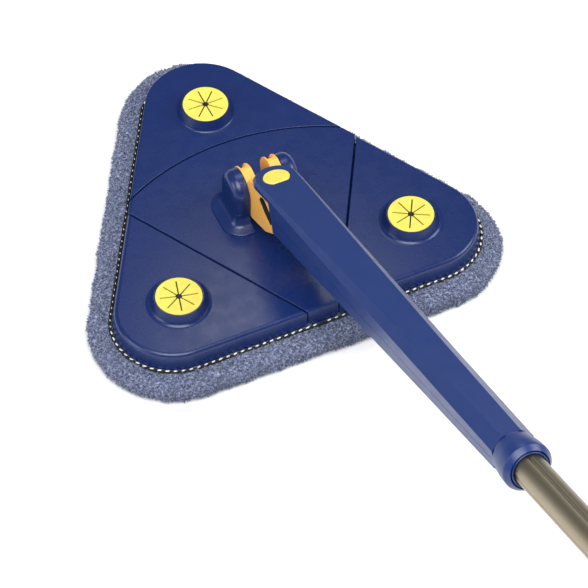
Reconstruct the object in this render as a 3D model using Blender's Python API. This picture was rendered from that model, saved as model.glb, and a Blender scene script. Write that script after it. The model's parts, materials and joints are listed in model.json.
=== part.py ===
# Triangular flat mop with two folding corners, a two-axis joint and a telescopic pole.
# Sizes are in millimetres and degrees; each mesh is turned to metres when it is made.
# Head frame: origin on the floor under the middle of the head, +Y to the front corner.
# Handle frame: Z runs up the pole from the tilt axle, Y is square to the top face.

import math

import bmesh
import bpy
from mathutils import Matrix, Vector

MM = 0.001

# Fits
TOUCH_GAP = 0.3          # between fixed pieces that meet
RUNNING_GAP = 0.1        # radial clearance of a shaft that turns
ROUND = 20               # sides of a small round piece
ROUND_LARGE = 32         # sides of a large round piece
ROUND_SCREW = 10         # sides of a screw and of its holes
ROUND_HINGE = 14         # sides of a hinge pin and its knuckles
WELD = 0.001             # points closer than this are one

# Head sections
PLATE_INRADIUS = 98.0    # middle of the head to the middle of a side, at the top
PLATE_CORNER = 42.0      # corner radius at the top
PLATE_DRAFT = 1.5        # the lower rim stands out by this much
PLATE_HEIGHT = 13.5
PLATE_WALL = 3.0
PLATE_EDGE = 2.0         # rounding of the top edges
BOARD_REBATE = 0.5       # the wall is thinner by this where the base board sits
SEAM_GAP = 1.0
FLAP_LENGTH = 94.5       # tip of a corner to its fold line
FRONT_LENGTH = 83.0      # tip of the front corner to the arc seam
FRONT_SEAM_RADIUS = 175.0
BOARD_THICKNESS = 3.0
CORNER_TIP = 2 * PLATE_INRADIUS - PLATE_CORNER      # from the middle of the head
FOLD_FROM_CENTRE = CORNER_TIP - FLAP_LENGTH
FRONT_SEAM_FROM_CENTRE = CORNER_TIP - FRONT_LENGTH

# Fold hinges
FOLD_ANGLE = 60.0
HINGE_PIN_RADIUS = 1.5
KNUCKLE_RADIUS = 3.4
KNUCKLE_LIFT = 3.8       # hinge axis above the underside
CHANNEL_HALF_WIDTH = 4.8
HINGE_HALF_LENGTH = 60.0
CENTRE_KNUCKLE = 26.0    # length of the middle knuckle
END_KNUCKLE = 18.0
KNUCKLE_GAP = 1.0

# Cloth grippers
GRIPPER_FROM_TIP = 49.0
GRIPPER_RADIUS = 16.8
GRIPPER_THICKNESS = 2.1
GRIPPER_RISE = 7.6       # top of the disc above the plate
BOSS_LIP = 1.1           # width of the boss around the disc
BOSS_SPREAD = 3.4        # how much wider the boss is at its foot
SLIT_COUNT = 8
SLIT_WIDTH = 0.8
SLIT_INNER = 2.6
SLIT_MARGIN = 3.6        # from the end of a slit to the edge of the disc
GRIPPER_LEDGE = 2.1      # from the skirt to the edge of the disc
GRIPPER_SKIRT_WALL = 1.4
GRIPPER_SKIRT_DEPTH = 4.0
CLIP_THICKNESS = 1.2
CLIP_WIDTH = 3.8
GRIPPER_FROM_CENTRE = CORNER_TIP - GRIPPER_FROM_TIP
BOSS_TOP_RADIUS = GRIPPER_RADIUS + BOSS_LIP
BOSS_BASE_RADIUS = BOSS_TOP_RADIUS + BOSS_SPREAD
SLIT_OUTER = GRIPPER_RADIUS - SLIT_MARGIN
GRIPPER_SKIRT_RADIUS = GRIPPER_RADIUS - GRIPPER_LEDGE

# Pad
PAD_MARGIN = 19.0        # past the top shells, along each side
PAD_CORNER_MARGIN = 20.0 # more than the corner radius of the shells
PAD_THICKNESS = 15.8
TAPE_THICKNESS = 1.1
TAPE_INSET = 12.0
FOLD_RELIEF = 31.0       # slope of each side of the gap at a fold
PAD_INRADIUS = PLATE_INRADIUS + PAD_MARGIN
PAD_CORNER = PLATE_CORNER + PAD_CORNER_MARGIN
PLATE_UNDERSIDE = PAD_THICKNESS + TAPE_THICKNESS + 2 * TOUCH_GAP    # height above the floor
PLATE_TOP = PLATE_UNDERSIDE + PLATE_HEIGHT

# Tilt joint
AXLE_Y = 8.0
AXLE_RISE = 24.0         # above the top of the plate
AXLE_RADIUS = 3.0
EAR_RADIUS = 15.0
EAR_THICKNESS = 11.0
EAR_EDGE = 6.0
EAR_FLARES = (9.0, 10.0, 6.0)   # how far its foot spreads: outwards, to the pole, and away from it
EAR_FLARE_HEIGHT = 11.0
EAR_SPACING = 30.0       # between the inner faces
EAR_BLIND_END = 4.0
AXLE_CAP_MARGIN = 2.0    # how much wider the cap is than the axle
AXLE_CAP_THICKNESS = 2.0
YOKE_SIDE_GAP = 0.5
AXLE_HEIGHT = PLATE_TOP + AXLE_RISE
AXLE_CAP_RADIUS = AXLE_RADIUS + AXLE_CAP_MARGIN
YOKE_HALF_WIDTH = EAR_SPACING / 2 - YOKE_SIDE_GAP

# Yoke and spigot
SPIGOT_FROM_AXLE = 34.0
SPIGOT_RADIUS = 9.0
SPIGOT_CUP_RADIUS = 12.9
SPIGOT_CUP_BORE = 11.7
SPIGOT_CUP_FLOOR = 12.0  # underside of the cup above the tilt axle
SPIGOT_CUP_THICKNESS = 1.5
SPIGOT_FOOT = -8.0
YOKE_FRONT_RADIUS = 15.5
YOKE_PRONG_WIDTH = 8.0
YOKE_GAP_END = 13.0      # bottom of the gap between the prongs
YOKE_CUP_ROOM = 0.2      # around and under the spigot's cup
YOKE_PAST_SPIGOT = 22.0  # from the spigot's axis to the yoke's tail
WASHER_MARGIN = 2.0      # how much wider the washer is than the spigot
WASHER_THICKNESS = 1.5
SWING_CLEARANCE = 1.15   # between the yoke's corners and the body, as the handle swings
YOKE_TAIL = SPIGOT_FROM_AXLE + YOKE_PAST_SPIGOT
WASHER_RADIUS = SPIGOT_RADIUS + WASHER_MARGIN
SWING_ROOM = math.hypot(YOKE_PAST_SPIGOT, YOKE_HALF_WIDTH) + SWING_CLEARANCE

# Pole
TUBE_RADIUS = 11.0
TUBE_WALL = 1.0
TUBE_END = 1150.0
TUBE_HELD = 72.7         # length of tube inside the body, fully drawn out
POLE_SLIDE = 240.0       # how far the tube slides in
GROOVE_COUNT = 4
GROOVE_DEPTH = 0.8
GROOVE_HALF_ANGLE = 9.0
GRIP_LENGTH = 150.0
GRIP_OVERHANG = 10.0     # past the end of the tube
GRIP_WALL = 4.5
HANG_HOLE_RADIUS = 6.0
HANG_LOOP_LENGTH = 30.0
HANG_LOOP_THICKNESS = 8.0
GRIP_END = TUBE_END + GRIP_OVERHANG
GRIP_START = GRIP_END - GRIP_LENGTH
GRIP_RADIUS = TUBE_RADIUS + GRIP_WALL

# Twist lock
BODY_END = 402.7         # distances up the handle are from the tilt axle
NECK_LENGTH = 15.5
NECK_WALL = 1.4
COLLAR_LENGTH = 22.6
COLLAR_WALL = 2.3
COLLAR_LIP = 0.5         # between the lip and the ferrule
COLLET_WALL = 1.8
COLLET_DEPTH = 6.7       # how far the collet reaches into the body
FERRULE_LENGTH = 6.0
BODY_NECK_END = BODY_END + NECK_LENGTH
COLLAR_START = BODY_END + TOUCH_GAP
COLLAR_END = COLLAR_START + COLLAR_LENGTH
COLLET_START = BODY_END - COLLET_DEPTH
COLLET_RADIUS = TUBE_RADIUS + RUNNING_GAP + COLLET_WALL
COLLAR_LIP_RADIUS = COLLET_RADIUS + COLLAR_LIP
BODY_NECK_RADIUS = COLLET_RADIUS + TOUCH_GAP + NECK_WALL
COLLAR_RADIUS = BODY_NECK_RADIUS + RUNNING_GAP + COLLAR_WALL
TUBE_START = BODY_END - TUBE_HELD

# Handle
HANDLE_ELEVATION = 20.0  # pole above the floor, as it rests
HANDLE_OFFSET = 2.9      # pole axis above the tilt axle, square to the top face
BORE_CLEARANCE = 1.0     # around the tube
BORE_ROOM = 6.0          # past the tube when it is slid in
HOOD_UNDERSIDE = 15.5
HOOD_SKIN = 2.0
HOOD_INSET = 0.3         # the hood is this much narrower than the body on each side
BORE_RADIUS = TUBE_RADIUS + BORE_CLEARANCE
BORE_START = TUBE_START - POLE_SLIDE - BORE_ROOM
# distance up the handle; past the bore at each side, above and below; chamfer
BODY_SECTIONS = (
    (50.0, 4.3, 6.0, 2.5, 2.0),
    (150.0, 3.8, 5.0, 2.5, 4.0),
    (300.0, 3.0, 3.5, 2.5, 6.6),
    (BODY_END, 2.7, 2.8, 2.5, 8.2),
)
HOOD_RADIUS = BORE_RADIUS + BODY_SECTIONS[0][1] - HOOD_INSET
HOOD_TOP = HANDLE_OFFSET + BORE_RADIUS + BODY_SECTIONS[0][2]

# Button
BUTTON_OFFSET = 2.3      # farther up the handle than the spigot's axis
BUTTON_RADIUS = 9.5
BUTTON_FLAT = 7.4        # middle of the button to its flat side
BUTTON_PROUD = 0.6
BUTTON_TRAVEL = 2.0
BUTTON_FLANGE = 1.2
BUTTON_FLANGE_THICKNESS = 1.2
BUTTON_CROWN = 1.5       # thickness of its top, over the spring
SPRING_RADIUS = 4.2
SPRING_WIRE = 0.7
SPRING_TURNS = 3
SPRING_ROOM = 1.2        # around the coil
BUTTON_FROM_AXLE = SPIGOT_FROM_AXLE + BUTTON_OFFSET

# Screws
SCREW_RADIUS = 1.4
SCREW_HEAD_RADIUS = 2.8
SCREW_HEAD_HEIGHT = 1.2
SCREW_LENGTH = 8.0
SCREW_BOSS_RADIUS = 3.8

BOARD_TOP = PLATE_UNDERSIDE + BOARD_THICKNESS
HINGE_HEIGHT = PLATE_UNDERSIDE + KNUCKLE_LIFT
GRIPPER_TOP = PLATE_TOP + GRIPPER_RISE
HOLD_FROM_AXLE = (GRIP_START + GRIP_END) / 2

NAVY = ("navy_plastic", (0.013, 0.028, 0.130), 0.28, 0.0)
YELLOW_RUBBER = ("yellow_rubber", (1.0, 0.79, 0.10), 0.55, 0.0)
AMBER_PLASTIC = ("amber_plastic", (0.85, 0.42, 0.05), 0.40, 0.0)
BLACK_PLASTIC = ("black_plastic", (0.02, 0.02, 0.02), 0.50, 0.0)
STEEL = ("brushed_steel", (0.62, 0.60, 0.57), 0.30, 1.0)
MICROFIBRE = ("microfibre", (0.19, 0.22, 0.38), 0.95, 0.0)
HOOK_TAPE = ("hook_tape", (0.03, 0.03, 0.04), 0.90, 0.0)
GRIP_RUBBER = ("grip_rubber", (0.03, 0.03, 0.035), 0.75, 0.0)


# ---------- Outlines ----------

def arc(x, y, radius, start, end, steps):
    """Points along an arc, angles in degrees."""
    angles = [math.radians(start + (end - start) * i / steps) for i in range(steps + 1)]
    return [(x + radius * math.cos(a), y + radius * math.sin(a)) for a in angles]


def corner(turn, inradius, radius):
    """The round corner of a three-sided outline; the corner at turn 0 points to +Y."""
    reach = 2 * (inradius - radius)
    middle = math.radians(90 + turn)
    x, y = reach * math.cos(middle), reach * math.sin(middle)
    return arc(x, y, radius, 30 + turn, 150 + turn, 10)


def three_sided(inradius, radius):
    return [point for turn in (0, 120, 240) for point in corner(turn, inradius, radius)]


def clip(outline, direction, distance, keep_far=False):
    """Keeps the part of an outline on one side of a line square to direction (degrees)."""
    sign = -1.0 if keep_far else 1.0
    nx, ny = math.cos(math.radians(direction)), math.sin(math.radians(direction))
    depth = [sign * (x * nx + y * ny - distance) for x, y in outline]
    kept = []
    for i, (x, y) in enumerate(outline):
        j = (i + 1) % len(outline)
        if depth[i] <= 0:
            kept.append((x, y))
        if (depth[i] <= 0) != (depth[j] <= 0):
            share = depth[i] / (depth[i] - depth[j])
            kept.append((x + share * (outline[j][0] - x), y + share * (outline[j][1] - y)))
    return kept


def front_seam(inradius, radius):
    """The arc seam of the front section, from the right side of the head to the left."""
    centre = FRONT_SEAM_FROM_CENTRE - FRONT_SEAM_RADIUS
    along = -math.cos(math.radians(30)) * centre
    square = inradius ** 2 + centre ** 2 - inradius * centre - radius ** 2
    run = -along + math.sqrt(along ** 2 - square)
    x = inradius * math.cos(math.radians(30)) - run * math.sin(math.radians(30))
    y = inradius * math.sin(math.radians(30)) + run * math.cos(math.radians(30))
    start = math.degrees(math.atan2(y - centre, x))
    return arc(0, centre, radius, start, 180 - start, 10)


def centre_outline(inset, seam_inset):
    inradius, radius = PLATE_INRADIUS - inset, PLATE_CORNER - inset
    seam = front_seam(inradius, FRONT_SEAM_RADIUS - SEAM_GAP / 2 - seam_inset)
    outline = seam + corner(120, inradius, radius) + corner(240, inradius, radius)
    fold = FOLD_FROM_CENTRE - SEAM_GAP / 2 - seam_inset
    return clip(clip(outline, 210, fold), 330, fold)


def front_outline(inset, seam_inset):
    inradius, radius = PLATE_INRADIUS - inset, PLATE_CORNER - inset
    seam = front_seam(inradius, FRONT_SEAM_RADIUS + SEAM_GAP / 2 + seam_inset)
    return corner(0, inradius, radius) + seam[::-1]


def board_outline(inset):
    outline = three_sided(PLATE_INRADIUS - inset, PLATE_CORNER - inset)
    fold = FOLD_FROM_CENTRE - SEAM_GAP / 2 - inset
    return clip(clip(outline, 210, fold), 330, fold)


def flap_outline(inset, seam_inset):
    outline = three_sided(PLATE_INRADIUS - inset, PLATE_CORNER - inset)
    return clip(outline, 90, FOLD_FROM_CENTRE + SEAM_GAP / 2 + seam_inset, keep_far=True)


# ---------- Solids ----------

def stack(levels):
    """A solid through outlines with the same number of points, each at its height."""
    bm = bmesh.new()
    loops = [[bm.verts.new((x, y, height)) for x, y in outline] for outline, height in levels]
    bm.faces.new(loops[0][::-1])
    bm.faces.new(loops[-1])
    for first, second in zip(loops, loops[1:]):
        for i in range(len(first)):
            j = (i + 1) % len(first)
            bm.faces.new((first[i], first[j], second[j], second[i]))
    return bm


def loft(lower, upper, low, high):
    """A solid between two outlines with the same number of points."""
    return stack([(lower, low), (upper, high)])


def prism(outline, low, high):
    return loft(outline, outline, low, high)


def box(low, high):
    (x0, y0, z0), (x1, y1, z1) = low, high
    return prism([(x0, y0), (x1, y0), (x1, y1), (x0, y1)], z0, z1)


def turned(profile, sides=ROUND):
    """Turns a profile of (radius, height) points about Z; it closes on itself or on the axis."""
    bm = bmesh.new()
    rings = []
    for radius, height in profile:
        if radius == 0:
            rings.append([bm.verts.new((0, 0, height))])
        else:
            turns = [2 * math.pi * i / sides for i in range(sides)]
            places = [(radius * math.cos(a), radius * math.sin(a), height) for a in turns]
            rings.append([bm.verts.new(place) for place in places])
    loops = list(zip(rings, rings[1:]))
    if profile[0][0] > 0:
        loops.append((rings[-1], rings[0]))
    for first, second in loops:
        for i in range(sides):
            j = (i + 1) % sides
            corners = [first[i % len(first)], first[j % len(first)]]
            corners += [second[j % len(second)], second[i % len(second)]]
            bm.faces.new(list(dict.fromkeys(corners)))
    return bm


def cylinder(radius, low, high, sides=ROUND):
    return turned([(0, low), (radius, low), (radius, high), (0, high)], sides)


def ring(inner, outer, low, high, sides=ROUND):
    return turned([(inner, low), (outer, low), (outer, high), (inner, high)], sides)


def moved(bm, x=0.0, y=0.0, z=0.0):
    bm.transform(Matrix.Translation((x, y, z)))
    return bm


def along_x(bm):
    """Lays a solid made about Z along X."""
    bm.transform(Matrix.Rotation(math.radians(90), 4, "Y"))
    return bm


def square_to_handle(bm, distance):
    """Stands a solid made about Z square to the handle's top face, distance up the handle."""
    bm.transform(Matrix(((1, 0, 0, 0), (0, 0, 1, 0), (0, -1, 0, distance), (0, 0, 0, 1))))
    return bm


def from_side(outline, half_width):
    """Extrudes an outline of (distance up the handle, height) points across the handle."""
    bm = prism([(height, distance) for distance, height in outline], -half_width, half_width)
    bm.transform(Matrix(((0, 0, 1, 0), (1, 0, 0, 0), (0, 1, 0, 0), (0, 0, 0, 1))))
    return bm


def round_top_edges(bm, height, width):
    """Rounds the edges of the flat face at this height."""
    edges = [edge for edge in bm.edges if all(abs(vert.co.z - height) < 1e-4 for vert in edge.verts)]
    bmesh.ops.bevel(bm, geom=edges, offset=width, segments=2, profile=0.5, affect="EDGES")
    return bm


# ---------- Objects ----------

def empty(name, parent=None, place=(0, 0, 0), rotation=(0, 0, 0)):
    holder = bpy.data.objects.new(name, None)
    bpy.context.scene.collection.objects.link(holder)
    holder.parent = parent
    holder.location = Vector(place) * MM
    holder.rotation_euler = [math.radians(angle) for angle in rotation]
    return holder


def material(look):
    name, colour, roughness, metallic = look
    if name in bpy.data.materials:
        return bpy.data.materials[name]
    made = bpy.data.materials.new(name)
    made.use_nodes = True
    shader = made.node_tree.nodes["Principled BSDF"]
    shader.inputs["Base Color"].default_value = (*colour, 1.0)
    shader.inputs["Roughness"].default_value = roughness
    shader.inputs["Metallic"].default_value = metallic
    return made


def piece(name, bm, look, parent, origin=(0, 0, 0)):
    """Makes an object of a solid; origin is the parent's place in the solid's own frame."""
    mesh = mesh_of(moved(bm, *(-value for value in origin)), name)
    made = bpy.data.objects.new(name, mesh)
    bpy.context.scene.collection.objects.link(made)
    made.parent = parent
    mesh.materials.append(material(look))
    return made


def mesh_of(bm, name):
    bmesh.ops.recalc_face_normals(bm, faces=bm.faces)
    bm.transform(Matrix.Scale(MM, 4))
    mesh = bpy.data.meshes.new(name)
    bm.to_mesh(mesh)
    bm.free()
    return mesh


def combine(target, operation, *solids, origin=(0, 0, 0)):
    """Adds solids to an object, or cuts them from it, one after another, in the object's own space."""
    for bm in solids:
        tool = bpy.data.objects.new("tool", mesh_of(moved(bm, *(-value for value in origin)), "tool"))
        stock = bpy.data.objects.new("stock", target.data)
        for thing in (tool, stock):
            bpy.context.scene.collection.objects.link(thing)
        step = stock.modifiers.new("shape", "BOOLEAN")
        step.operation = operation
        step.solver = "EXACT"
        step.object = tool
        graph = bpy.context.evaluated_depsgraph_get()
        target.data = bpy.data.meshes.new_from_object(stock.evaluated_get(graph))
        for thing in (tool, stock):
            bpy.data.objects.remove(thing)
        weld(target.data)
    return target


def weld(mesh):
    """Closes the hairline slivers that a cut can leave."""
    bm = bmesh.new()
    bm.from_mesh(mesh)
    bmesh.ops.remove_doubles(bm, verts=bm.verts, dist=WELD * MM)
    bmesh.ops.dissolve_degenerate(bm, edges=bm.edges, dist=WELD * MM)
    bm.to_mesh(mesh)
    bm.free()


def add(target, *solids, origin=(0, 0, 0)):
    return combine(target, "UNION", *solids, origin=origin)


def cut(target, *solids, origin=(0, 0, 0)):
    return combine(target, "DIFFERENCE", *solids, origin=origin)


# ---------- Screws ----------

def screw(name, parent, place, origin=(0, 0, 0)):
    """A screw with its head down, seated in the underside of a board."""
    x, y, seat = place
    low, head = seat + TOUCH_GAP, seat + TOUCH_GAP + SCREW_HEAD_HEIGHT
    profile = [(0, low), (SCREW_HEAD_RADIUS, low), (SCREW_HEAD_RADIUS, head), (SCREW_RADIUS, head)]
    profile += [(SCREW_RADIUS, head + SCREW_LENGTH), (0, head + SCREW_LENGTH)]
    piece(name, moved(turned(profile, ROUND_SCREW), x, y), STEEL, parent, origin)


def screw_holes(x, y, seat):
    """The clearance hole and counterbore of a screw whose head sits at seat."""
    deep = seat + 2 * TOUCH_GAP + SCREW_HEAD_HEIGHT
    head = cylinder(SCREW_HEAD_RADIUS + TOUCH_GAP, seat - 2, deep, ROUND_SCREW)
    shank = cylinder(SCREW_RADIUS + TOUCH_GAP, seat - 1, deep + SCREW_LENGTH + 1, ROUND_SCREW)
    return moved(head, x, y), moved(shank, x, y)


def screw_boss(x, y):
    boss = cylinder(SCREW_BOSS_RADIUS, BOARD_TOP + TOUCH_GAP, PLATE_TOP - PLATE_WALL / 2, ROUND_HINGE)
    return moved(boss, x, y)


def screw_pilot(x, y):
    pilot = cylinder(SCREW_RADIUS + TOUCH_GAP, PLATE_UNDERSIDE, PLATE_UNDERSIDE + 11.0, ROUND_SCREW)
    return moved(pilot, x, y)


# ---------- Grippers ----------

def gripper_boss():
    low = PLATE_TOP - PLATE_WALL / 2
    profile = [(0, low), (BOSS_BASE_RADIUS, low), (BOSS_BASE_RADIUS, PLATE_TOP + 0.6)]
    profile += [(BOSS_BASE_RADIUS - 2.2, PLATE_TOP + 2.0), (BOSS_TOP_RADIUS + 0.3, GRIPPER_TOP - 1.0)]
    profile += [(BOSS_TOP_RADIUS, GRIPPER_TOP), (0, GRIPPER_TOP)]
    return moved(turned(profile, ROUND_LARGE), 0, GRIPPER_FROM_CENTRE)


def gripper_well():
    seat = GRIPPER_TOP - GRIPPER_THICKNESS - TOUCH_GAP
    ledge = seat - GRIPPER_SKIRT_DEPTH
    disc, skirt = GRIPPER_RADIUS + TOUCH_GAP, GRIPPER_SKIRT_RADIUS + TOUCH_GAP
    clip_room = GRIPPER_SKIRT_RADIUS + 2.6
    floor = BOARD_TOP + TOUCH_GAP
    profile = [(0, floor), (clip_room, floor), (clip_room, ledge), (skirt, ledge)]
    profile += [(skirt, seat), (disc, seat), (disc, GRIPPER_TOP + 1), (0, GRIPPER_TOP + 1)]
    return moved(turned(profile, ROUND_LARGE), 0, GRIPPER_FROM_CENTRE)


def gripper(name, parent, origin=(0, 0, 0)):
    low = GRIPPER_TOP - GRIPPER_THICKNESS
    foot = low - GRIPPER_SKIRT_DEPTH + TOUCH_GAP
    inner = GRIPPER_SKIRT_RADIUS - GRIPPER_SKIRT_WALL
    profile = [(0, low), (inner, low), (inner, foot)]
    profile += [(GRIPPER_SKIRT_RADIUS, foot), (GRIPPER_SKIRT_RADIUS, low)]
    profile += [(GRIPPER_RADIUS, low), (GRIPPER_RADIUS, GRIPPER_TOP), (0, GRIPPER_TOP)]
    solid = moved(turned(profile, ROUND_LARGE), 0, GRIPPER_FROM_CENTRE)
    disc = piece(name, solid, YELLOW_RUBBER, parent, origin)
    for i in range(SLIT_COUNT):
        slit = box((SLIT_INNER, -SLIT_WIDTH / 2, low - 1), (SLIT_OUTER, SLIT_WIDTH / 2, GRIPPER_TOP + 1))
        slit.transform(Matrix.Rotation(math.radians(90 + i * 360 / SLIT_COUNT), 4, "Z"))
        cut(disc, moved(slit, 0, GRIPPER_FROM_CENTRE), origin=origin)
    cut(disc, moved(cylinder(1.5, low - 1, GRIPPER_TOP + 1, 12), 0, GRIPPER_FROM_CENTRE), origin=origin)


def gripper_clip(name, parent, origin=(0, 0, 0)):
    high = GRIPPER_TOP - GRIPPER_THICKNESS - GRIPPER_SKIRT_DEPTH - 2 * TOUCH_GAP
    outer = GRIPPER_SKIRT_RADIUS + 2.3
    clip_ring = ring(outer - CLIP_WIDTH, outer, high - CLIP_THICKNESS, high, ROUND_LARGE)
    piece(name, moved(clip_ring, 0, GRIPPER_FROM_CENTRE), BLACK_PLASTIC, parent, origin)


# ---------- Fold hinges ----------

def hinge_spans(flap_side):
    """Start and end of each knuckle along the hinge, for the flap or for the centre."""
    middle = CENTRE_KNUCKLE / 2
    end = HINGE_HALF_LENGTH - END_KNUCKLE
    if flap_side:
        return [(-end + KNUCKLE_GAP, -middle - KNUCKLE_GAP), (middle + KNUCKLE_GAP, end - KNUCKLE_GAP)]
    return [(-HINGE_HALF_LENGTH, -end), (-middle, middle), (end, HINGE_HALF_LENGTH)]


def knuckle(start, end, flap_side):
    """A hinge barrel and the web that joins it to its board."""
    barrel = along_x(cylinder(KNUCKLE_RADIUS, start, end, ROUND_HINGE))
    reach = CHANNEL_HALF_WIDTH + 2.0
    low, high = 0.5 - KNUCKLE_LIFT, BOARD_THICKNESS - 0.4 - KNUCKLE_LIFT
    near, far = (-0.5, reach) if flap_side else (-reach, 0.5)
    web = box((start + 0.2, near, low), (end - 0.2, far, high))
    return [moved(solid, 0, FOLD_FROM_CENTRE, HINGE_HEIGHT) for solid in (web, barrel)]


def hinge_channel():
    half = HINGE_HALF_LENGTH + 2.5
    high = HINGE_HEIGHT + KNUCKLE_RADIUS + 0.9
    low = PLATE_UNDERSIDE - 5
    channel = box((-half, -CHANNEL_HALF_WIDTH, low), (half, CHANNEL_HALF_WIDTH, high))
    return moved(channel, 0, FOLD_FROM_CENTRE)


def hinge_hole():
    reach = HINGE_HALF_LENGTH + 5
    hole = along_x(cylinder(HINGE_PIN_RADIUS + RUNNING_GAP, -reach, reach, ROUND_HINGE))
    return moved(hole, 0, FOLD_FROM_CENTRE, HINGE_HEIGHT)


def hinge_pin(name, parent, origin):
    pin = along_x(cylinder(HINGE_PIN_RADIUS, -HINGE_HALF_LENGTH - 1, HINGE_HALF_LENGTH + 1, ROUND_HINGE))
    piece(name, moved(pin, 0, FOLD_FROM_CENTRE, HINGE_HEIGHT), STEEL, parent, origin)


def fold_relief(flap_side):
    """What a pad loses at a fold, so that it can close on itself."""
    low = -5.0
    lean = (HINGE_HEIGHT - low) * math.tan(math.radians(FOLD_RELIEF))
    far = 2 * PAD_INRADIUS
    away = -far if flap_side else far
    lean = lean if flap_side else -lean
    side = [(FOLD_FROM_CENTRE, HINGE_HEIGHT), (FOLD_FROM_CENTRE + lean, low)]
    side += [(FOLD_FROM_CENTRE + away, low), (FOLD_FROM_CENTRE + away, HINGE_HEIGHT)]
    bm = prism(side, -far, far)
    bm.transform(Matrix(((0, 0, 1, 0), (1, 0, 0, 0), (0, 1, 0, 0), (0, 0, 0, 1))))
    return bm


def past_the_middle(turn):
    """The room across the middle of the head, as a fully folded corner meets it."""
    far = 3 * PAD_INRADIUS
    side = -1 if turn < 180 else 1
    x0, x1 = sorted((side * TOUCH_GAP, -side * far))
    bm = box((x0, -far, -far), (x1, far, far))
    bm.transform(Matrix.Rotation(math.radians(-turn), 4, "Z"))
    moved(bm, 0, -FOLD_FROM_CENTRE, -HINGE_HEIGHT)
    bm.transform(Matrix.Rotation(math.radians(FOLD_ANGLE), 4, "X"))
    return moved(bm, 0, FOLD_FROM_CENTRE, HINGE_HEIGHT)


# ---------- Corner flaps ----------

FLAP_SCREWS = [(x, FOLD_FROM_CENTRE + 16.5) for x in (-34.0, 34.0)]


def flap(side, turn, head):
    """One folding corner with all that it carries."""
    frame = empty(f"{side}_corner", head, rotation=(0, 0, turn))
    origin = (0, FOLD_FROM_CENTRE, HINGE_HEIGHT)
    fold = empty(f"{side}_fold", frame, place=origin)

    outer = loft(flap_outline(-PLATE_DRAFT, 0), flap_outline(0, 0), PLATE_UNDERSIDE, PLATE_TOP)
    shell = piece(f"{side}_flap_shell", round_top_edges(outer, PLATE_TOP, PLATE_EDGE), NAVY, fold, origin)
    add(shell, gripper_boss(), origin=origin)
    hollow = prism(flap_outline(PLATE_WALL, PLATE_WALL), PLATE_UNDERSIDE - 2, PLATE_TOP - PLATE_WALL)
    inset = PLATE_WALL - BOARD_REBATE
    room = prism(flap_outline(inset, inset), PLATE_UNDERSIDE - 3, BOARD_TOP + TOUCH_GAP)
    cut(shell, hollow, room, origin=origin)
    for x, y in FLAP_SCREWS:
        add(shell, screw_boss(x, y), origin=origin)
        cut(shell, screw_pilot(x, y), origin=origin)
    cut(shell, hinge_channel(), fold_relief(True), gripper_well(), origin=origin)

    inset = PLATE_WALL - BOARD_REBATE + TOUCH_GAP
    board = prism(flap_outline(inset, inset), PLATE_UNDERSIDE, BOARD_TOP)
    board = piece(f"{side}_flap_base", board, NAVY, fold, origin)
    cut(board, hinge_channel(), origin=origin)
    for start, end in hinge_spans(True):
        add(board, *knuckle(start, end, True), origin=origin)
    cut(board, hinge_hole(), origin=origin)
    for number, (x, y) in enumerate(FLAP_SCREWS, 1):
        cut(board, *screw_holes(x, y, PLATE_UNDERSIDE), origin=origin)
        screw(f"{side}_flap_screw_{number}", fold, (x, y, PLATE_UNDERSIDE), origin)

    gripper(f"{side}_gripper", fold, origin)
    gripper_clip(f"{side}_clip", fold, origin)
    tape_top = PLATE_UNDERSIDE - TOUCH_GAP
    tape = prism(flap_outline(TAPE_INSET, TAPE_INSET), tape_top - TAPE_THICKNESS, tape_top)
    piece(f"{side}_hook_tape", tape, HOOK_TAPE, fold, origin)
    outline = clip(three_sided(PAD_INRADIUS, PAD_CORNER), 90, FOLD_FROM_CENTRE, keep_far=True)
    pad = piece(f"{side}_pad", prism(outline, 0, PAD_THICKNESS), MICROFIBRE, fold, origin)
    cut(pad, fold_relief(True), past_the_middle(turn), origin=origin)
    return frame


# ---------- Head ----------

CENTRE_SCREWS = [(0.0, 40.0), (-34.0, -24.0), (34.0, -24.0)]
FRONT_SCREWS = [(x, FRONT_SEAM_FROM_CENTRE + 7.0) for x in (-42.0, 42.0)]


def ear(side):
    """One ear of the tilt joint, side -1 on the left and 1 on the right, and its spreading foot."""
    low, inner, outer = PLATE_TOP - PLATE_WALL / 2, EAR_SPACING / 2, EAR_SPACING / 2 + EAR_THICKNESS
    levels = []
    for angle in (None, 0, 30, 60, 90):
        turn = math.radians(angle or 0)
        radius = EAR_RADIUS - EAR_EDGE * (1 - math.cos(turn))
        outline = arc(AXLE_Y, AXLE_HEIGHT, radius, 0, 180, 18)
        outline += [(AXLE_Y - radius, low), (AXLE_Y + radius, low)]
        levels.append((outline, inner if angle is None else outer - EAR_EDGE * (1 - math.sin(turn))))
    lobe = stack(levels)
    lobe.transform(Matrix(((0, 0, side, 0), (1, 0, 0, 0), (0, 1, 0, 0), (0, 0, 0, 1))))
    if side < 0:
        bmesh.ops.reverse_faces(lobe, faces=lobe.faces)
    sunk = EAR_EDGE + 0.6
    steps = [(1.0, low - 0.4), (1.0, PLATE_TOP + 0.4), (0.42, PLATE_TOP + 0.3 * EAR_FLARE_HEIGHT)]
    steps += [(0.1, PLATE_TOP + 0.65 * EAR_FLARE_HEIGHT), (None, PLATE_TOP + EAR_FLARE_HEIGHT)]
    outlines = []
    for share, height in steps:
        spreads = [-sunk if share is None else share * flare for flare in EAR_FLARES]
        x0, x1 = inner + 0.4, outer + spreads[0]
        front, back = AXLE_Y - EAR_RADIUS - spreads[1], AXLE_Y + EAR_RADIUS + spreads[2]
        far, near = (5.0, 1.4) if share else (2.0, 0.6)
        flat = [(x0, front), (x1 - far, front), (x1 - near, front + near), (x1, front + far)]
        flat += [(x1, back - far), (x1 - near, back - near), (x1 - far, back), (x0, back)]
        flat = [(side * x, y) for x, y in flat][::side]
        outlines.append((flat, height))
    return lobe, stack(outlines)


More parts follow.
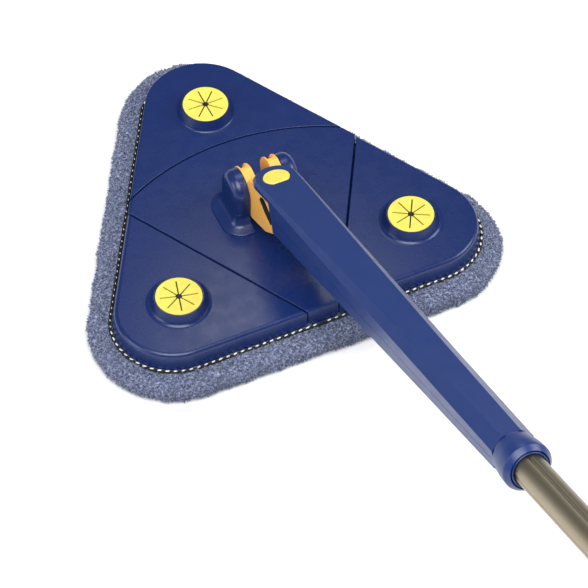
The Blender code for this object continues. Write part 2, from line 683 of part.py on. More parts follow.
def board_room():
    """The space under the front seam that the base board runs through."""
    return prism(board_outline(PLATE_WALL - BOARD_REBATE), PLATE_UNDERSIDE - 3, BOARD_TOP + TOUCH_GAP)


def head_pieces(head, corners):
    outer = loft(centre_outline(-PLATE_DRAFT, 0), centre_outline(0, 0), PLATE_UNDERSIDE, PLATE_TOP)
    centre = piece("centre_shell", round_top_edges(outer, PLATE_TOP, PLATE_EDGE), NAVY, head)
    add(centre, *ear(-1), *ear(1))
    hollow = prism(centre_outline(PLATE_WALL, PLATE_WALL), PLATE_UNDERSIDE - 2, PLATE_TOP - PLATE_WALL)
    cut(centre, hollow, board_room())
    blind_end = EAR_BLIND_END - EAR_SPACING / 2 - EAR_THICKNESS
    axle_hole = along_x(cylinder(AXLE_RADIUS + RUNNING_GAP, blind_end, 60, 24))
    cap_room = AXLE_CAP_THICKNESS + 2 * TOUCH_GAP
    outer_face = EAR_SPACING / 2 + EAR_THICKNESS
    cap_hole = along_x(cylinder(AXLE_CAP_RADIUS + TOUCH_GAP, outer_face - cap_room, outer_face + 1, 24))
    cut(centre, moved(axle_hole, 0, AXLE_Y, AXLE_HEIGHT), moved(cap_hole, 0, AXLE_Y, AXLE_HEIGHT))
    for x, y in CENTRE_SCREWS:
        add(centre, screw_boss(x, y))
        cut(centre, screw_pilot(x, y))

    outer = loft(front_outline(-PLATE_DRAFT, 0), front_outline(0, 0), PLATE_UNDERSIDE, PLATE_TOP)
    front = piece("front_shell", round_top_edges(outer, PLATE_TOP, PLATE_EDGE), NAVY, head)
    add(front, gripper_boss())
    hollow = prism(front_outline(PLATE_WALL, PLATE_WALL), PLATE_UNDERSIDE - 2, PLATE_TOP - PLATE_WALL)
    cut(front, hollow, board_room())
    for x, y in FRONT_SCREWS:
        add(front, screw_boss(x, y))
        cut(front, screw_pilot(x, y))
    cut(front, gripper_well())
    gripper("front_gripper", head)
    gripper_clip("front_clip", head)

    inset = PLATE_WALL - BOARD_REBATE + TOUCH_GAP
    board = piece("head_base", prism(board_outline(inset), PLATE_UNDERSIDE, BOARD_TOP), NAVY, head)
    for turn in (120, 240):
        cut(board, turned_about_centre(hinge_channel(), turn))
        for start, end in hinge_spans(False):
            add(board, *[turned_about_centre(bm, turn) for bm in knuckle(start, end, False)])
        cut(board, turned_about_centre(hinge_hole(), turn))
        for bm in (hinge_channel(), fold_relief(False)):
            cut(centre, turned_about_centre(bm, turn))
    places = [("centre", CENTRE_SCREWS), ("front", FRONT_SCREWS)]
    for group, screws in places:
        for number, (x, y) in enumerate(screws, 1):
            cut(board, *screw_holes(x, y, PLATE_UNDERSIDE))
            screw(f"{group}_screw_{number}", head, (x, y, PLATE_UNDERSIDE))
    for side, frame in corners.items():
        hinge_pin(f"{side}_hinge_pin", frame, (0, 0, 0))

    tape_top = PLATE_UNDERSIDE - TOUCH_GAP
    tape = prism(board_outline(TAPE_INSET), tape_top - TAPE_THICKNESS, tape_top)
    piece("centre_hook_tape", tape, HOOK_TAPE, head)
    pad = prism(three_sided(PAD_INRADIUS, PAD_CORNER), 0, PAD_THICKNESS)
    pad = piece("centre_pad", pad, MICROFIBRE, head)
    cut(pad, *[turned_about_centre(fold_relief(False), turn) for turn in (120, 240)])


def turned_about_centre(bm, turn):
    bm.transform(Matrix.Rotation(math.radians(turn), 4, "Z"))
    return bm


def axle_pieces(head):
    """A short pin through each prong of the yoke; the right one is covered by a cap."""
    place = (0, AXLE_Y, AXLE_HEIGHT)
    outer_face = EAR_SPACING / 2 + EAR_THICKNESS
    inner_end = YOKE_HALF_WIDTH - YOKE_PRONG_WIDTH + TOUCH_GAP
    ends = {"left": (EAR_BLIND_END + TOUCH_GAP - outer_face, -inner_end)}
    ends["right"] = (inner_end, outer_face - AXLE_CAP_THICKNESS - 3 * TOUCH_GAP)
    for side, (low, high) in ends.items():
        pin = along_x(cylinder(AXLE_RADIUS, low, high, 24))
        piece(f"{side}_axle_pin", moved(pin, *place), STEEL, head)
    cap_end = outer_face - TOUCH_GAP
    cap = along_x(cylinder(AXLE_CAP_RADIUS, cap_end - AXLE_CAP_THICKNESS, cap_end, 24))
    piece("axle_cap", moved(cap, *place), NAVY, head)


# ---------- Yoke ----------

def yoke_piece(parent):
    top = HOOD_UNDERSIDE - TOUCH_GAP
    outline = arc(0, 0, YOKE_FRONT_RADIUS, 75, 250, 14)
    outline += [(2.0, -20.0), (12.0, -21.0), (36.0, -19.5), (51.0, -13.5), (YOKE_TAIL, -6.0)]
    outline += [(YOKE_TAIL, top - 2), (YOKE_TAIL - 2, top), (18.0, top), (12.0, 9.5)]
    yoke = piece("yoke", from_side(outline, YOKE_HALF_WIDTH), AMBER_PLASTIC, parent)
    gap = YOKE_HALF_WIDTH - YOKE_PRONG_WIDTH
    cut(yoke, box((-gap, -30, -30), (gap, 30, YOKE_GAP_END)))
    cut(yoke, along_x(cylinder(AXLE_RADIUS + RUNNING_GAP, -30, 30, 24)))
    bore = cylinder(SPIGOT_RADIUS + RUNNING_GAP, -30, 30, ROUND_LARGE)
    recess = cylinder(WASHER_RADIUS + TOUCH_GAP, -40, SPIGOT_FOOT + TOUCH_GAP, ROUND_LARGE)
    cup = cylinder(SPIGOT_CUP_RADIUS + YOKE_CUP_ROOM, SPIGOT_CUP_FLOOR - TOUCH_GAP, 30, ROUND_LARGE)
    for bm in (bore, recess, cup):
        cut(yoke, square_to_handle(bm, SPIGOT_FROM_AXLE))
    window = [(38.5, 7.5), (41.5, 9.0), (49.0, 2.5), (49.5, -2.0), (46.5, -3.5), (40.0, 3.0)]
    for side in (-1, 1):
        pocket = from_side(window, 1.5)
        cut(yoke, moved(pocket, side * YOKE_HALF_WIDTH))


# ---------- Handle ----------

def body_section(distance, sideways, rise, depth, chamfer):
    x = BORE_RADIUS + sideways
    top, bottom = HANDLE_OFFSET + BORE_RADIUS + rise, HANDLE_OFFSET - BORE_RADIUS - depth
    corners = [(x, bottom + chamfer), (x, top - chamfer), (x - chamfer, top), (chamfer - x, top)]
    corners += [(-x, top - chamfer), (-x, bottom + chamfer), (chamfer - x, bottom), (x - chamfer, bottom)]
    return [(px, py, distance) for px, py in corners]


def body_solid():
    """The outside of the handle body, both halves together."""
    bm = bmesh.new()
    sections = [[bm.verts.new(point) for point in body_section(*row)] for row in BODY_SECTIONS]
    bm.faces.new(sections[0][::-1])
    bm.faces.new(sections[-1])
    for first, second in zip(sections, sections[1:]):
        for i in range(8):
            j = (i + 1) % 8
            bm.faces.new((first[i], first[j], second[j], second[i]))
    return bm


def d_outline(radius, flat):
    """A circle with its side towards the pole cut flat."""
    half = math.degrees(math.acos(min(flat / radius, 1.0)))
    return arc(0, 0, radius, 270 + half, 630 - half, 28)


def body_piece(name, parent, upper):
    shell = piece(name, body_solid(), NAVY, parent)
    neck = cylinder(BODY_NECK_RADIUS, BODY_END - 5, BODY_NECK_END, ROUND_LARGE)
    add(shell, moved(neck, 0, HANDLE_OFFSET))
    far = 500.0
    if upper:
        hood = arc(0, 0, HOOD_RADIUS, 0, 180, 24)
        back = SPIGOT_FROM_AXLE - BODY_SECTIONS[0][0] - 5
        hood += [(-HOOD_RADIUS, back), (HOOD_RADIUS, back)]
        hood_solid = round_top_edges(prism(hood, HOOD_UNDERSIDE, HOOD_TOP), HOOD_TOP, 1.5)
        add(shell, square_to_handle(hood_solid, SPIGOT_FROM_AXLE))
        cut(shell, box((-far, -far, -far), (far, HANDLE_OFFSET + TOUCH_GAP / 2, far)))
    else:
        cut(shell, box((-far, HANDLE_OFFSET - TOUCH_GAP / 2, -far), (far, far, far)))
    room = cylinder(SWING_ROOM, -60, HOOD_UNDERSIDE, ROUND_LARGE)
    cut(shell, square_to_handle(room, SPIGOT_FROM_AXLE))
    cut(shell, moved(cylinder(BORE_RADIUS, BORE_START, far, ROUND_LARGE), 0, HANDLE_OFFSET))
    collet_room = cylinder(COLLET_RADIUS + TOUCH_GAP, COLLET_START - TOUCH_GAP, far, ROUND_LARGE)
    cut(shell, moved(collet_room, 0, HANDLE_OFFSET))
    return shell


HANDLE_SCREWS = [(-8.5, 76.0), (8.5, 76.0)]


def handle_pieces(parent):
    upper = body_piece("handle_upper_shell", parent, True)
    skin = HOOD_TOP - HOOD_SKIN
    spread = BUTTON_FLANGE + TOUCH_GAP
    room = prism(d_outline(BUTTON_RADIUS + spread, BUTTON_FLAT + spread), HOOD_UNDERSIDE - 1, skin)
    mouth = d_outline(BUTTON_RADIUS + TOUCH_GAP, BUTTON_FLAT + TOUCH_GAP)
    mouth = prism(mouth, HOOD_UNDERSIDE - 1, HOOD_TOP + 2)
    cut(upper, square_to_handle(room, BUTTON_FROM_AXLE), square_to_handle(mouth, BUTTON_FROM_AXLE))
    lower = body_piece("handle_lower_shell", parent, False)
    seat = HANDLE_OFFSET - 13.0
    for number, (x, distance) in enumerate(HANDLE_SCREWS, 1):
        for shell in (upper, lower):
            for bm in handle_screw_room(x, seat):
                cut(shell, square_to_handle(bm, distance))
        low, head, tip = seat + TOUCH_GAP, seat + TOUCH_GAP + SCREW_HEAD_HEIGHT, seat + 18.0
        profile = [(0, low), (SCREW_HEAD_RADIUS, low), (SCREW_HEAD_RADIUS, head), (SCREW_RADIUS, head)]
        profile += [(SCREW_RADIUS, tip), (0, tip)]
        shank = square_to_handle(moved(turned(profile, ROUND_SCREW), x), distance)
        piece(f"handle_screw_{number}", shank, STEEL, parent)


def handle_screw_room(x, seat):
    deep = seat + 2 * TOUCH_GAP + SCREW_HEAD_HEIGHT
    head = moved(cylinder(SCREW_HEAD_RADIUS + TOUCH_GAP, seat - 10, deep, ROUND_SCREW), x)
    shank = moved(cylinder(SCREW_RADIUS + TOUCH_GAP, seat, seat + 19.0, ROUND_SCREW), x)
    return head, shank


def spigot_top():
    return SPIGOT_CUP_FLOOR + SPIGOT_CUP_THICKNESS


def spigot_pieces(parent):
    rim = HOOD_UNDERSIDE - TOUCH_GAP
    profile = [(0, SPIGOT_FOOT), (SPIGOT_RADIUS, SPIGOT_FOOT), (SPIGOT_RADIUS, SPIGOT_CUP_FLOOR)]
    profile += [(SPIGOT_CUP_RADIUS, SPIGOT_CUP_FLOOR), (SPIGOT_CUP_RADIUS, rim), (SPIGOT_CUP_BORE, rim)]
    profile += [(SPIGOT_CUP_BORE, spigot_top()), (0, spigot_top())]
    solid = square_to_handle(turned(profile, ROUND_LARGE), SPIGOT_FROM_AXLE)
    spigot = piece("spigot", solid, BLACK_PLASTIC, parent)
    hole = cylinder(SCREW_RADIUS + TOUCH_GAP, SPIGOT_FOOT - 1, SPIGOT_FOOT + 12, ROUND_SCREW)
    cut(spigot, square_to_handle(hole, SPIGOT_FROM_AXLE))
    high = SPIGOT_FOOT - TOUCH_GAP
    washer = ring(SCREW_RADIUS + TOUCH_GAP, WASHER_RADIUS, high - WASHER_THICKNESS, high, ROUND)
    piece("spigot_washer", square_to_handle(washer, SPIGOT_FROM_AXLE), STEEL, parent)
    seat = high - WASHER_THICKNESS - TOUCH_GAP
    profile = [(0, seat - 2.0), (4.0, seat - 2.0), (4.0, seat), (SCREW_RADIUS, seat)]
    profile += [(SCREW_RADIUS, SPIGOT_FOOT + 11), (0, SPIGOT_FOOT + 11)]
    piece("spigot_screw", square_to_handle(turned(profile, ROUND_SCREW), SPIGOT_FROM_AXLE), STEEL, parent)


def button_pieces(parent):
    flange_top = HOOD_TOP - HOOD_SKIN - TOUCH_GAP
    flange_low = flange_top - BUTTON_FLANGE_THICKNESS
    wide = d_outline(BUTTON_RADIUS + BUTTON_FLANGE, BUTTON_FLAT + BUTTON_FLANGE)
    wide = prism(wide, flange_low, flange_top)
    button = piece("release_button", square_to_handle(wide, BUTTON_FROM_AXLE), YELLOW_RUBBER, parent)
    cap = prism(d_outline(BUTTON_RADIUS, BUTTON_FLAT), flange_low, HOOD_TOP + BUTTON_PROUD)
    round_top_edges(cap, HOOD_TOP + BUTTON_PROUD, 0.6)
    add(button, square_to_handle(cap, BUTTON_FROM_AXLE))
    room = cylinder(SPRING_RADIUS + SPRING_ROOM, flange_low - 1, spring_ceiling(), 24)
    cut(button, square_to_handle(room, BUTTON_FROM_AXLE))


def spring_ceiling():
    return HOOD_TOP + BUTTON_PROUD - BUTTON_CROWN


def spring_piece(parent):
    """The coil under the button, at the length it has with the button pressed."""
    wire = SPRING_WIRE / 2
    low = spigot_top() + TOUCH_GAP + wire
    high = spring_ceiling() - BUTTON_TRAVEL - TOUCH_GAP - wire
    steps, sides = 12 * SPRING_TURNS, 5
    bm = bmesh.new()
    rings = []
    for i in range(steps + 1):
        turn = 2 * math.pi * SPRING_TURNS * i / steps
        height = low + (high - low) * i / steps
        loop = []
        for k in range(sides):
            a = 2 * math.pi * k / sides
            radius = SPRING_RADIUS + wire * math.cos(a)
            x, y, z = radius * math.cos(turn), radius * math.sin(turn), height + wire * math.sin(a)
            loop.append(bm.verts.new((x, y, z)))
        rings.append(loop)
    for first, second in zip(rings, rings[1:]):
        for k in range(sides):
            m = (k + 1) % sides
            bm.faces.new((first[k], first[m], second[m], second[k]))
    bm.faces.new(rings[0][::-1])
    bm.faces.new(rings[-1])
    piece("button_spring", square_to_handle(bm, BUTTON_FROM_AXLE), STEEL, parent)


def collar_pieces(parent, turning):
    bore = BODY_NECK_RADIUS + RUNNING_GAP
    edge = 1.2
    outside, start, end = COLLAR_RADIUS, COLLAR_START, COLLAR_END
    profile = [(bore, start), (outside - edge, start), (outside, start + edge)]
    profile += [(outside, end - edge), (outside - edge, end), (COLLAR_LIP_RADIUS, end)]
    profile += [(COLLAR_LIP_RADIUS, BODY_NECK_END + TOUCH_GAP), (bore, BODY_NECK_END + TOUCH_GAP)]
    piece("lock_collar", turned(profile, ROUND_LARGE), NAVY, turning)
    tube_room = TUBE_RADIUS + RUNNING_GAP
    ferrule_start = COLLAR_END - 1.0 - FERRULE_LENGTH
    ferrule = ring(tube_room, COLLET_RADIUS, ferrule_start, COLLAR_END - 1.0, ROUND_LARGE)
    ferrule = moved(ferrule, 0, HANDLE_OFFSET)
    piece("ferrule", ferrule, NAVY, parent)
    collet_end = ferrule_start - TOUCH_GAP
    collet = moved(ring(tube_room, COLLET_RADIUS, COLLET_START, collet_end, ROUND_LARGE), 0, HANDLE_OFFSET)
    collet = piece("clamp_collet", collet, BLACK_PLASTIC, parent)
    for turn in (0, 90):
        slot = box((-20, -0.75, COLLET_START + 5), (20, 0.75, collet_end + 2))
        slot.transform(Matrix.Rotation(math.radians(turn), 4, "Z"))
        cut(collet, moved(slot, 0, HANDLE_OFFSET))


# ---------- Pole ----------

def tube_outline():
    """The outside of the tube, with its lengthwise grooves."""
    points = []
    for groove in range(GROOVE_COUNT):
        middle = 90 + groove * 360 / GROOVE_COUNT
        depth = TUBE_RADIUS - GROOVE_DEPTH
        for share in (-1.0, -0.5, 0.0, 0.5, 1.0):
            angle = share * GROOVE_HALF_ANGLE
            radius = TUBE_RADIUS if abs(share) == 1.0 else depth
            points += arc(0, 0, radius, middle + angle, middle + angle, 1)[:1]
        start, end = middle + GROOVE_HALF_ANGLE, middle + 90 - GROOVE_HALF_ANGLE
        points += arc(0, 0, TUBE_RADIUS, start, end, 8)[1:-1]
    return points


def pole_pieces(parent):
    inner = TUBE_RADIUS - GROOVE_DEPTH - TUBE_WALL
    tube = piece("pole_tube", prism(tube_outline(), TUBE_START, TUBE_END), STEEL, parent)
    cut(tube, cylinder(inner, TUBE_START - 1, TUBE_END + 1, ROUND))
    plug = inner - TOUCH_GAP
    flange = TUBE_RADIUS - GROOVE_DEPTH
    low = TUBE_START - 3.0
    profile = [(0, low), (flange, low), (flange, TUBE_START - TOUCH_GAP), (plug, TUBE_START - TOUCH_GAP)]
    profile += [(plug, TUBE_START + 12), (0, TUBE_START + 12)]
    piece("tube_plug", turned(profile), BLACK_PLASTIC, parent)

    grip_bore = TUBE_RADIUS + TOUCH_GAP
    waist, swell, steps = GRIP_RADIUS - 1.2, GRIP_RADIUS, 8
    profile = [(grip_bore, GRIP_START)]
    for i in range(steps + 1):
        share = i / steps
        radius = waist + (swell - waist) * math.sin(math.pi * share)
        profile.append((radius, GRIP_START + (GRIP_END - GRIP_START) * share))
    profile.append((grip_bore, GRIP_END))
    piece("hand_grip", turned(profile, ROUND), GRIP_RUBBER, parent)

    start = GRIP_END + TOUCH_GAP
    shoulder = start + 12.0
    profile = [(0, TUBE_END - 15), (plug, TUBE_END - 15), (plug, start), (GRIP_RADIUS - 0.5, start)]
    profile += [(GRIP_RADIUS - 0.5, shoulder - 2), (GRIP_RADIUS - 2.5, shoulder), (0, shoulder)]
    cap = piece("end_cap", turned(profile, ROUND), NAVY, parent)
    half = GRIP_RADIUS - 3.5
    loop = arc(0, shoulder - 2 + HANG_LOOP_LENGTH - half, half, 0, 180, 14)
    loop += [(-half, shoulder - 2), (half, shoulder - 2)]
    tongue = prism(loop, -HANG_LOOP_THICKNESS / 2, HANG_LOOP_THICKNESS / 2)
    hole = moved(cylinder(HANG_HOLE_RADIUS, -20, 20, 24), 0, shoulder - 2 + HANG_LOOP_LENGTH - half)
    for bm in (tongue, hole):
        bm.transform(Matrix.Rotation(math.radians(90), 4, "X"))
    add(cap, tongue)
    cut(cap, hole)


# ---------- Assembly ----------

def hold_point():
    """Where the hand holds the pole, in the head frame."""
    lean = math.radians(HANDLE_ELEVATION)
    y = AXLE_Y - HOLD_FROM_AXLE * math.cos(lean) + HANDLE_OFFSET * math.sin(lean)
    z = AXLE_HEIGHT + HOLD_FROM_AXLE * math.sin(lean) + HANDLE_OFFSET * math.cos(lean)
    return 0.0, y, z


def build():
    for thing in list(bpy.data.objects):
        bpy.data.objects.remove(thing, do_unlink=True)
    head = empty("head_frame", place=[-value for value in hold_point()])
    corners = {"left": flap("left", 120, head), "right": flap("right", 240, head)}
    head_pieces(head, corners)
    axle_pieces(head)
    tilt = empty("tilt_axis", head, (0, AXLE_Y, AXLE_HEIGHT), (90 - HANDLE_ELEVATION, 0, 0))
    yoke_piece(tilt)
    handle_pieces(tilt)
    spigot_pieces(tilt)
    button_pieces(tilt)
    spring_piece(tilt)
    pole = empty("pole_axis", tilt, (0, HANDLE_OFFSET, 0))
    collar_pieces(tilt, pole)
    pole_pieces(pole)
    for made in bpy.data.objects:
        if made.type == "MESH":
            made.data.shade_smooth()
            made.data.set_sharp_from_angle(angle=math.radians(35))


build()
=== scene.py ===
import json
import math

import bmesh
import bpy
import numpy as np
from mathutils import Matrix, Vector, noise


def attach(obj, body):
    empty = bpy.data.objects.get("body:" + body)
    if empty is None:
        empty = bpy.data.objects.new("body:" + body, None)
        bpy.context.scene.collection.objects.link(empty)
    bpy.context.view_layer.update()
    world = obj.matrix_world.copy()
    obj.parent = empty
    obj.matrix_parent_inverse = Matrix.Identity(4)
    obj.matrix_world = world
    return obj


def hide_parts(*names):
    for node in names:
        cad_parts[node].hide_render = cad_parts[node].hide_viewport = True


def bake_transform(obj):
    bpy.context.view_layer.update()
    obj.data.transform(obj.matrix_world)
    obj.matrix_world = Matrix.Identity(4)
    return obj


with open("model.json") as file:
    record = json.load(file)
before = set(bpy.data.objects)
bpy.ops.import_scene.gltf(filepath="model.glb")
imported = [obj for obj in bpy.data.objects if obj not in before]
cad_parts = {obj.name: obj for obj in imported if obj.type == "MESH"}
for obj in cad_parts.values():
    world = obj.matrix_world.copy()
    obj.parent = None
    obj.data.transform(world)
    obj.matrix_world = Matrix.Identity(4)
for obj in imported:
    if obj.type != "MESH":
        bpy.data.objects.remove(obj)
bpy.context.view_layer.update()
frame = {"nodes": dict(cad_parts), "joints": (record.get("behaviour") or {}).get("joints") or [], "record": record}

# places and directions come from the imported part: its floor mount and its joints
joints = {joint["name"]: joint for joint in frame["joints"]}
mounts = {mount["name"]: mount for mount in frame["record"]["mounts"]}
millimetre = Matrix.Scale(0.001, 4)
headFrame = Matrix.Translation(mounts["floor_face"]["pos_m"]) @ millimetre
squareUp = Vector(joints["handle_swing"]["axis"])
upTheHandle = Vector(joints["pole_slide"]["axis"])
handleFrame = Matrix.Identity(4)
for column, direction in enumerate((Vector((1, 0, 0)), squareUp, upTheHandle)):
    handleFrame.col[column] = (*direction, 0.0)
handleFrame.col[3] = (*joints["head_tilt"]["pos_m"], 1.0)
handleFrame = handleFrame @ millimetre
# a shape made upright is laid so that it rises from the handle, or stood so that its outline faces sideways
leaningUp = Matrix(((1, 0, 0, 0), (0, 0, 1, 0), (0, -1, 0, 0), (0, 0, 0, 1)))
sideOn = Matrix(((0, 0, 1, 0), (1, 0, 0, 0), (0, 1, 0, 0), (0, 0, 0, 1)))

plate = {
    "inradius": 98.0, "corner": 42.0, "draft": 1.5,      # middle of the head to a side
    "bottom": 17.5, "top": 31.0, "wall": 3.0,
    "rimRound": 3.4, "seamRound": 0.8,
    "seamGap": 1.0, "fold": 59.5, "frontSeamRadius": 175.0, "frontSeam": 71.0,
    "cornerSteps": 28, "seamSteps": 48,
}


def linear(hexColour):
    channels = [int(hexColour[i:i + 2], 16) / 255 for i in (1, 3, 5)]
    return (*[c / 12.92 if c <= 0.04045 else ((c + 0.055) / 1.055) ** 2.4 for c in channels], 1.0)


def activate(piece):
    bpy.ops.object.select_all(action="DESELECT")
    piece.select_set(True)
    bpy.context.view_layer.objects.active = piece


def addNode(tree, kind, settings=None, links=None):
    node = tree.nodes.new(kind)
    for key, value in (settings or {}).items():
        if key in node.inputs:
            node.inputs[key].default_value = value
        else:
            setattr(node, key, value)
    for key, source in (links or {}).items():
        tree.links.new(source, node.inputs[key])
    return node


def applyModifier(piece, kind, **settings):
    activate(piece)
    modifier = piece.modifiers.new(kind.lower(), kind)
    for key, value in settings.items():
        setattr(modifier, key, value)
    bpy.ops.object.modifier_apply(modifier=modifier.name)


def boolean(piece, tool, operation="DIFFERENCE"):
    applyModifier(piece, "BOOLEAN", operation=operation, object=tool, solver="EXACT")
    bpy.data.objects.remove(tool, do_unlink=True)


def pickEdges(piece, wanted):
    activate(piece)
    bpy.ops.object.mode_set(mode="EDIT")
    bpy.ops.mesh.select_mode(type="EDGE")
    bpy.ops.mesh.select_all(action="DESELECT")
    bm = bmesh.from_edit_mesh(piece.data)
    for edge in bm.edges:
        edge.select_set(wanted(edge))
    bmesh.update_edit_mesh(piece.data)


def bevelEdges(piece, wanted, width, segments, profile=0.5):
    pickEdges(piece, wanted)
    bpy.ops.mesh.bevel(offset=width, segments=segments, profile=profile, affect="EDGES", clamp_overlap=True)
    bpy.ops.object.mode_set(mode="OBJECT")


def tidyMesh(piece, distance=1e-4):
    activate(piece)
    bpy.ops.object.mode_set(mode="EDIT")
    bpy.ops.mesh.select_all(action="SELECT")
    bpy.ops.mesh.remove_doubles(threshold=distance)
    bpy.ops.mesh.normals_make_consistent(inside=False)
    bpy.ops.object.mode_set(mode="OBJECT")


def flatSolid(name, outline, low, high):
    bpy.ops.object.select_all(action="DESELECT")
    bpy.ops.mesh.primitive_circle_add(vertices=len(outline), fill_type="NGON")
    piece = bpy.context.active_object
    piece.name = name
    for vert, (x, y) in zip(piece.data.vertices, outline):
        vert.co = (x, y, low)
    bpy.ops.object.mode_set(mode="EDIT")
    bpy.ops.mesh.select_all(action="SELECT")
    bpy.ops.mesh.extrude_region_move(TRANSFORM_OT_translate={"value": (0, 0, high - low)})
    bpy.ops.object.mode_set(mode="OBJECT")
    tidyMesh(piece)
    return piece


def spunSolid(name, profile, steps=96):
    bpy.ops.object.select_all(action="DESELECT")
    bpy.ops.mesh.primitive_circle_add(vertices=len(profile), fill_type="NOTHING")
    piece = bpy.context.active_object
    piece.name = name
    for vert, (radius, height) in zip(piece.data.vertices, profile):
        vert.co = (radius, 0, height)
    bpy.ops.object.mode_set(mode="EDIT")
    bpy.ops.mesh.select_all(action="SELECT")
    bpy.ops.mesh.spin(steps=steps, angle=math.tau, center=(0, 0, 0), axis=(0, 0, 1))
    bpy.ops.object.mode_set(mode="OBJECT")
    tidyMesh(piece)
    return piece


def roller(radius, low, high, sides=64):
    bpy.ops.object.select_all(action="DESELECT")
    middle = (0, 0, (low + high) / 2)
    bpy.ops.mesh.primitive_cylinder_add(vertices=sides, radius=radius, depth=high - low, location=middle)
    piece = bpy.context.active_object
    bpy.ops.object.transform_apply(location=True, rotation=True, scale=True)
    return piece


def linked(name, data):
    piece = bpy.data.objects.new(name, data)
    bpy.context.scene.collection.objects.link(piece)
    return piece


def meshObject(name, verts, faces, weld=True):
    mesh = bpy.data.meshes.new(name)
    mesh.from_pydata(verts, [], faces)
    piece = linked(name, mesh)
    if weld:
        tidyMesh(piece)
    return piece


def halve(piece, side):
    # keeps what lies on one side of the head's middle, and closes the cut
    activate(piece)
    bpy.ops.object.mode_set(mode="EDIT")
    bpy.ops.mesh.select_all(action="SELECT")
    cut = (side * 0.15, 0, 0)
    bpy.ops.mesh.bisect(plane_co=cut, plane_no=(side, 0, 0), use_fill=True, clear_inner=True)
    bpy.ops.object.mode_set(mode="OBJECT")


def join(first, others):
    bpy.ops.object.select_all(action="DESELECT")
    for piece in (*others, first):
        piece.select_set(True)
    bpy.context.view_layer.objects.active = first
    bpy.ops.object.join()
    return first


def block(low, high):
    bpy.ops.object.select_all(action="DESELECT")
    middle = [(a + b) / 2 for a, b in zip(low, high)]
    bpy.ops.mesh.primitive_cube_add(size=1, location=middle, scale=[b - a for a, b in zip(low, high)])
    bpy.ops.object.transform_apply(location=True, rotation=True, scale=True)
    return bpy.context.active_object


def edgeAt(height):
    # picks edges that lie at one height
    return lambda edge: all(abs(vert.co.z - height) < 0.01 for vert in edge.verts)


def turned(degrees, axis="Z"):
    return Matrix.Rotation(math.radians(degrees), 4, axis)


def reshape(piece, matrix):
    activate(piece)
    piece.matrix_world = matrix
    bpy.ops.object.transform_apply(location=True, rotation=True, scale=True)
    return piece


def finishPiece(piece, name, place, finish, body, slotName, nodes=(), smooth=32):
    reshape(piece, place)
    piece.name = piece.data.name = name
    activate(piece)
    bpy.ops.object.shade_smooth_by_angle(angle=math.radians(smooth))
    applyModifier(piece, "WEIGHTED_NORMAL", keep_sharp=True)
    piece.data.materials.clear()
    piece.data.materials.append(finish)
    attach(piece, body)
    if nodes:
        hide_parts(*nodes)
    return piece


def newMaterial(name, **settings):
    material = bpy.data.materials.new(name)
    material.use_nodes = True
    shader = material.node_tree.nodes["Principled BSDF"]
    for key, value in settings.items():
        shader.inputs[key.replace("_", " ")].default_value = value
    return material, material.node_tree, shader


def addBump(tree, shader, height, strength, distance, invert=False):
    settings = {"Strength": strength, "Distance": distance, "invert": invert}
    bump = addNode(tree, "ShaderNodeBump", settings, {"Height": height})
    tree.links.new(bump.outputs["Normal"], shader.inputs["Normal"])


def mouldedPlastic(name, hexColour, roughness, shift=0.06):
    # injection-moulded ABS: smooth, with a faint flow variation and a fine orange peel
    material, tree, shader = newMaterial(name, IOR=1.5)
    place = addNode(tree, "ShaderNodeTexCoord").outputs["Object"]
    flow = addNode(tree, "ShaderNodeTexNoise", {"Scale": 28.0, "Detail": 3.0}, {"Vector": place})
    base = linear(hexColour)
    low = tuple(c * (1 - shift) for c in base[:3]) + (1.0,)
    high = tuple(min(1.0, c * (1 + shift)) for c in base[:3]) + (1.0,)
    colour = addNode(tree, "ShaderNodeMix", {"data_type": "RGBA"}, {"Factor": flow.outputs["Fac"]})
    for socket, value in zip([s for s in colour.inputs if s.type == "RGBA"], (low, high)):
        socket.default_value = value
    result = [s for s in colour.outputs if s.type == "RGBA"][0]
    tree.links.new(result, shader.inputs["Base Color"])
    worn = {"Scale": 90.0, "Detail": 4.0, "Roughness": 0.6}
    rub = addNode(tree, "ShaderNodeTexNoise", worn, {"Vector": place})
    span = {"From Min": 0.3, "From Max": 0.7, "To Min": roughness - 0.04, "To Max": roughness + 0.06}
    spread = addNode(tree, "ShaderNodeMapRange", span, {"Value": rub.outputs["Fac"]})
    tree.links.new(spread.outputs["Result"], shader.inputs["Roughness"])
    peel = addNode(tree, "ShaderNodeTexNoise", {"Scale": 650.0, "Detail": 2.0}, {"Vector": place})
    addBump(tree, shader, peel.outputs["Fac"], 0.05, 0.0004)
    return material


def softRubber(name, hexColour, roughness):
    # thermoplastic rubber: satin, finely grained by the mould
    material, tree, shader = newMaterial(name, IOR=1.5, Roughness=roughness)
    place = addNode(tree, "ShaderNodeTexCoord").outputs["Object"]
    base = linear(hexColour)
    patches = {"Scale": 160.0, "Detail": 5.0, "Roughness": 0.65}
    dirt = addNode(tree, "ShaderNodeTexNoise", patches, {"Vector": place})
    ramp = addNode(tree, "ShaderNodeValToRGB", None, {"Fac": dirt.outputs["Fac"]})
    first, last = ramp.color_ramp.elements
    first.position, first.color = 0.3, tuple(c * 0.86 for c in base[:3]) + (1.0,)
    last.position, last.color = 0.6, base
    tree.links.new(ramp.outputs["Color"], shader.inputs["Base Color"])
    grain = addNode(tree, "ShaderNodeTexVoronoi", {"Scale": 1800.0}, {"Vector": place})
    addBump(tree, shader, grain.outputs["Distance"], 0.12, 0.0002)
    return material


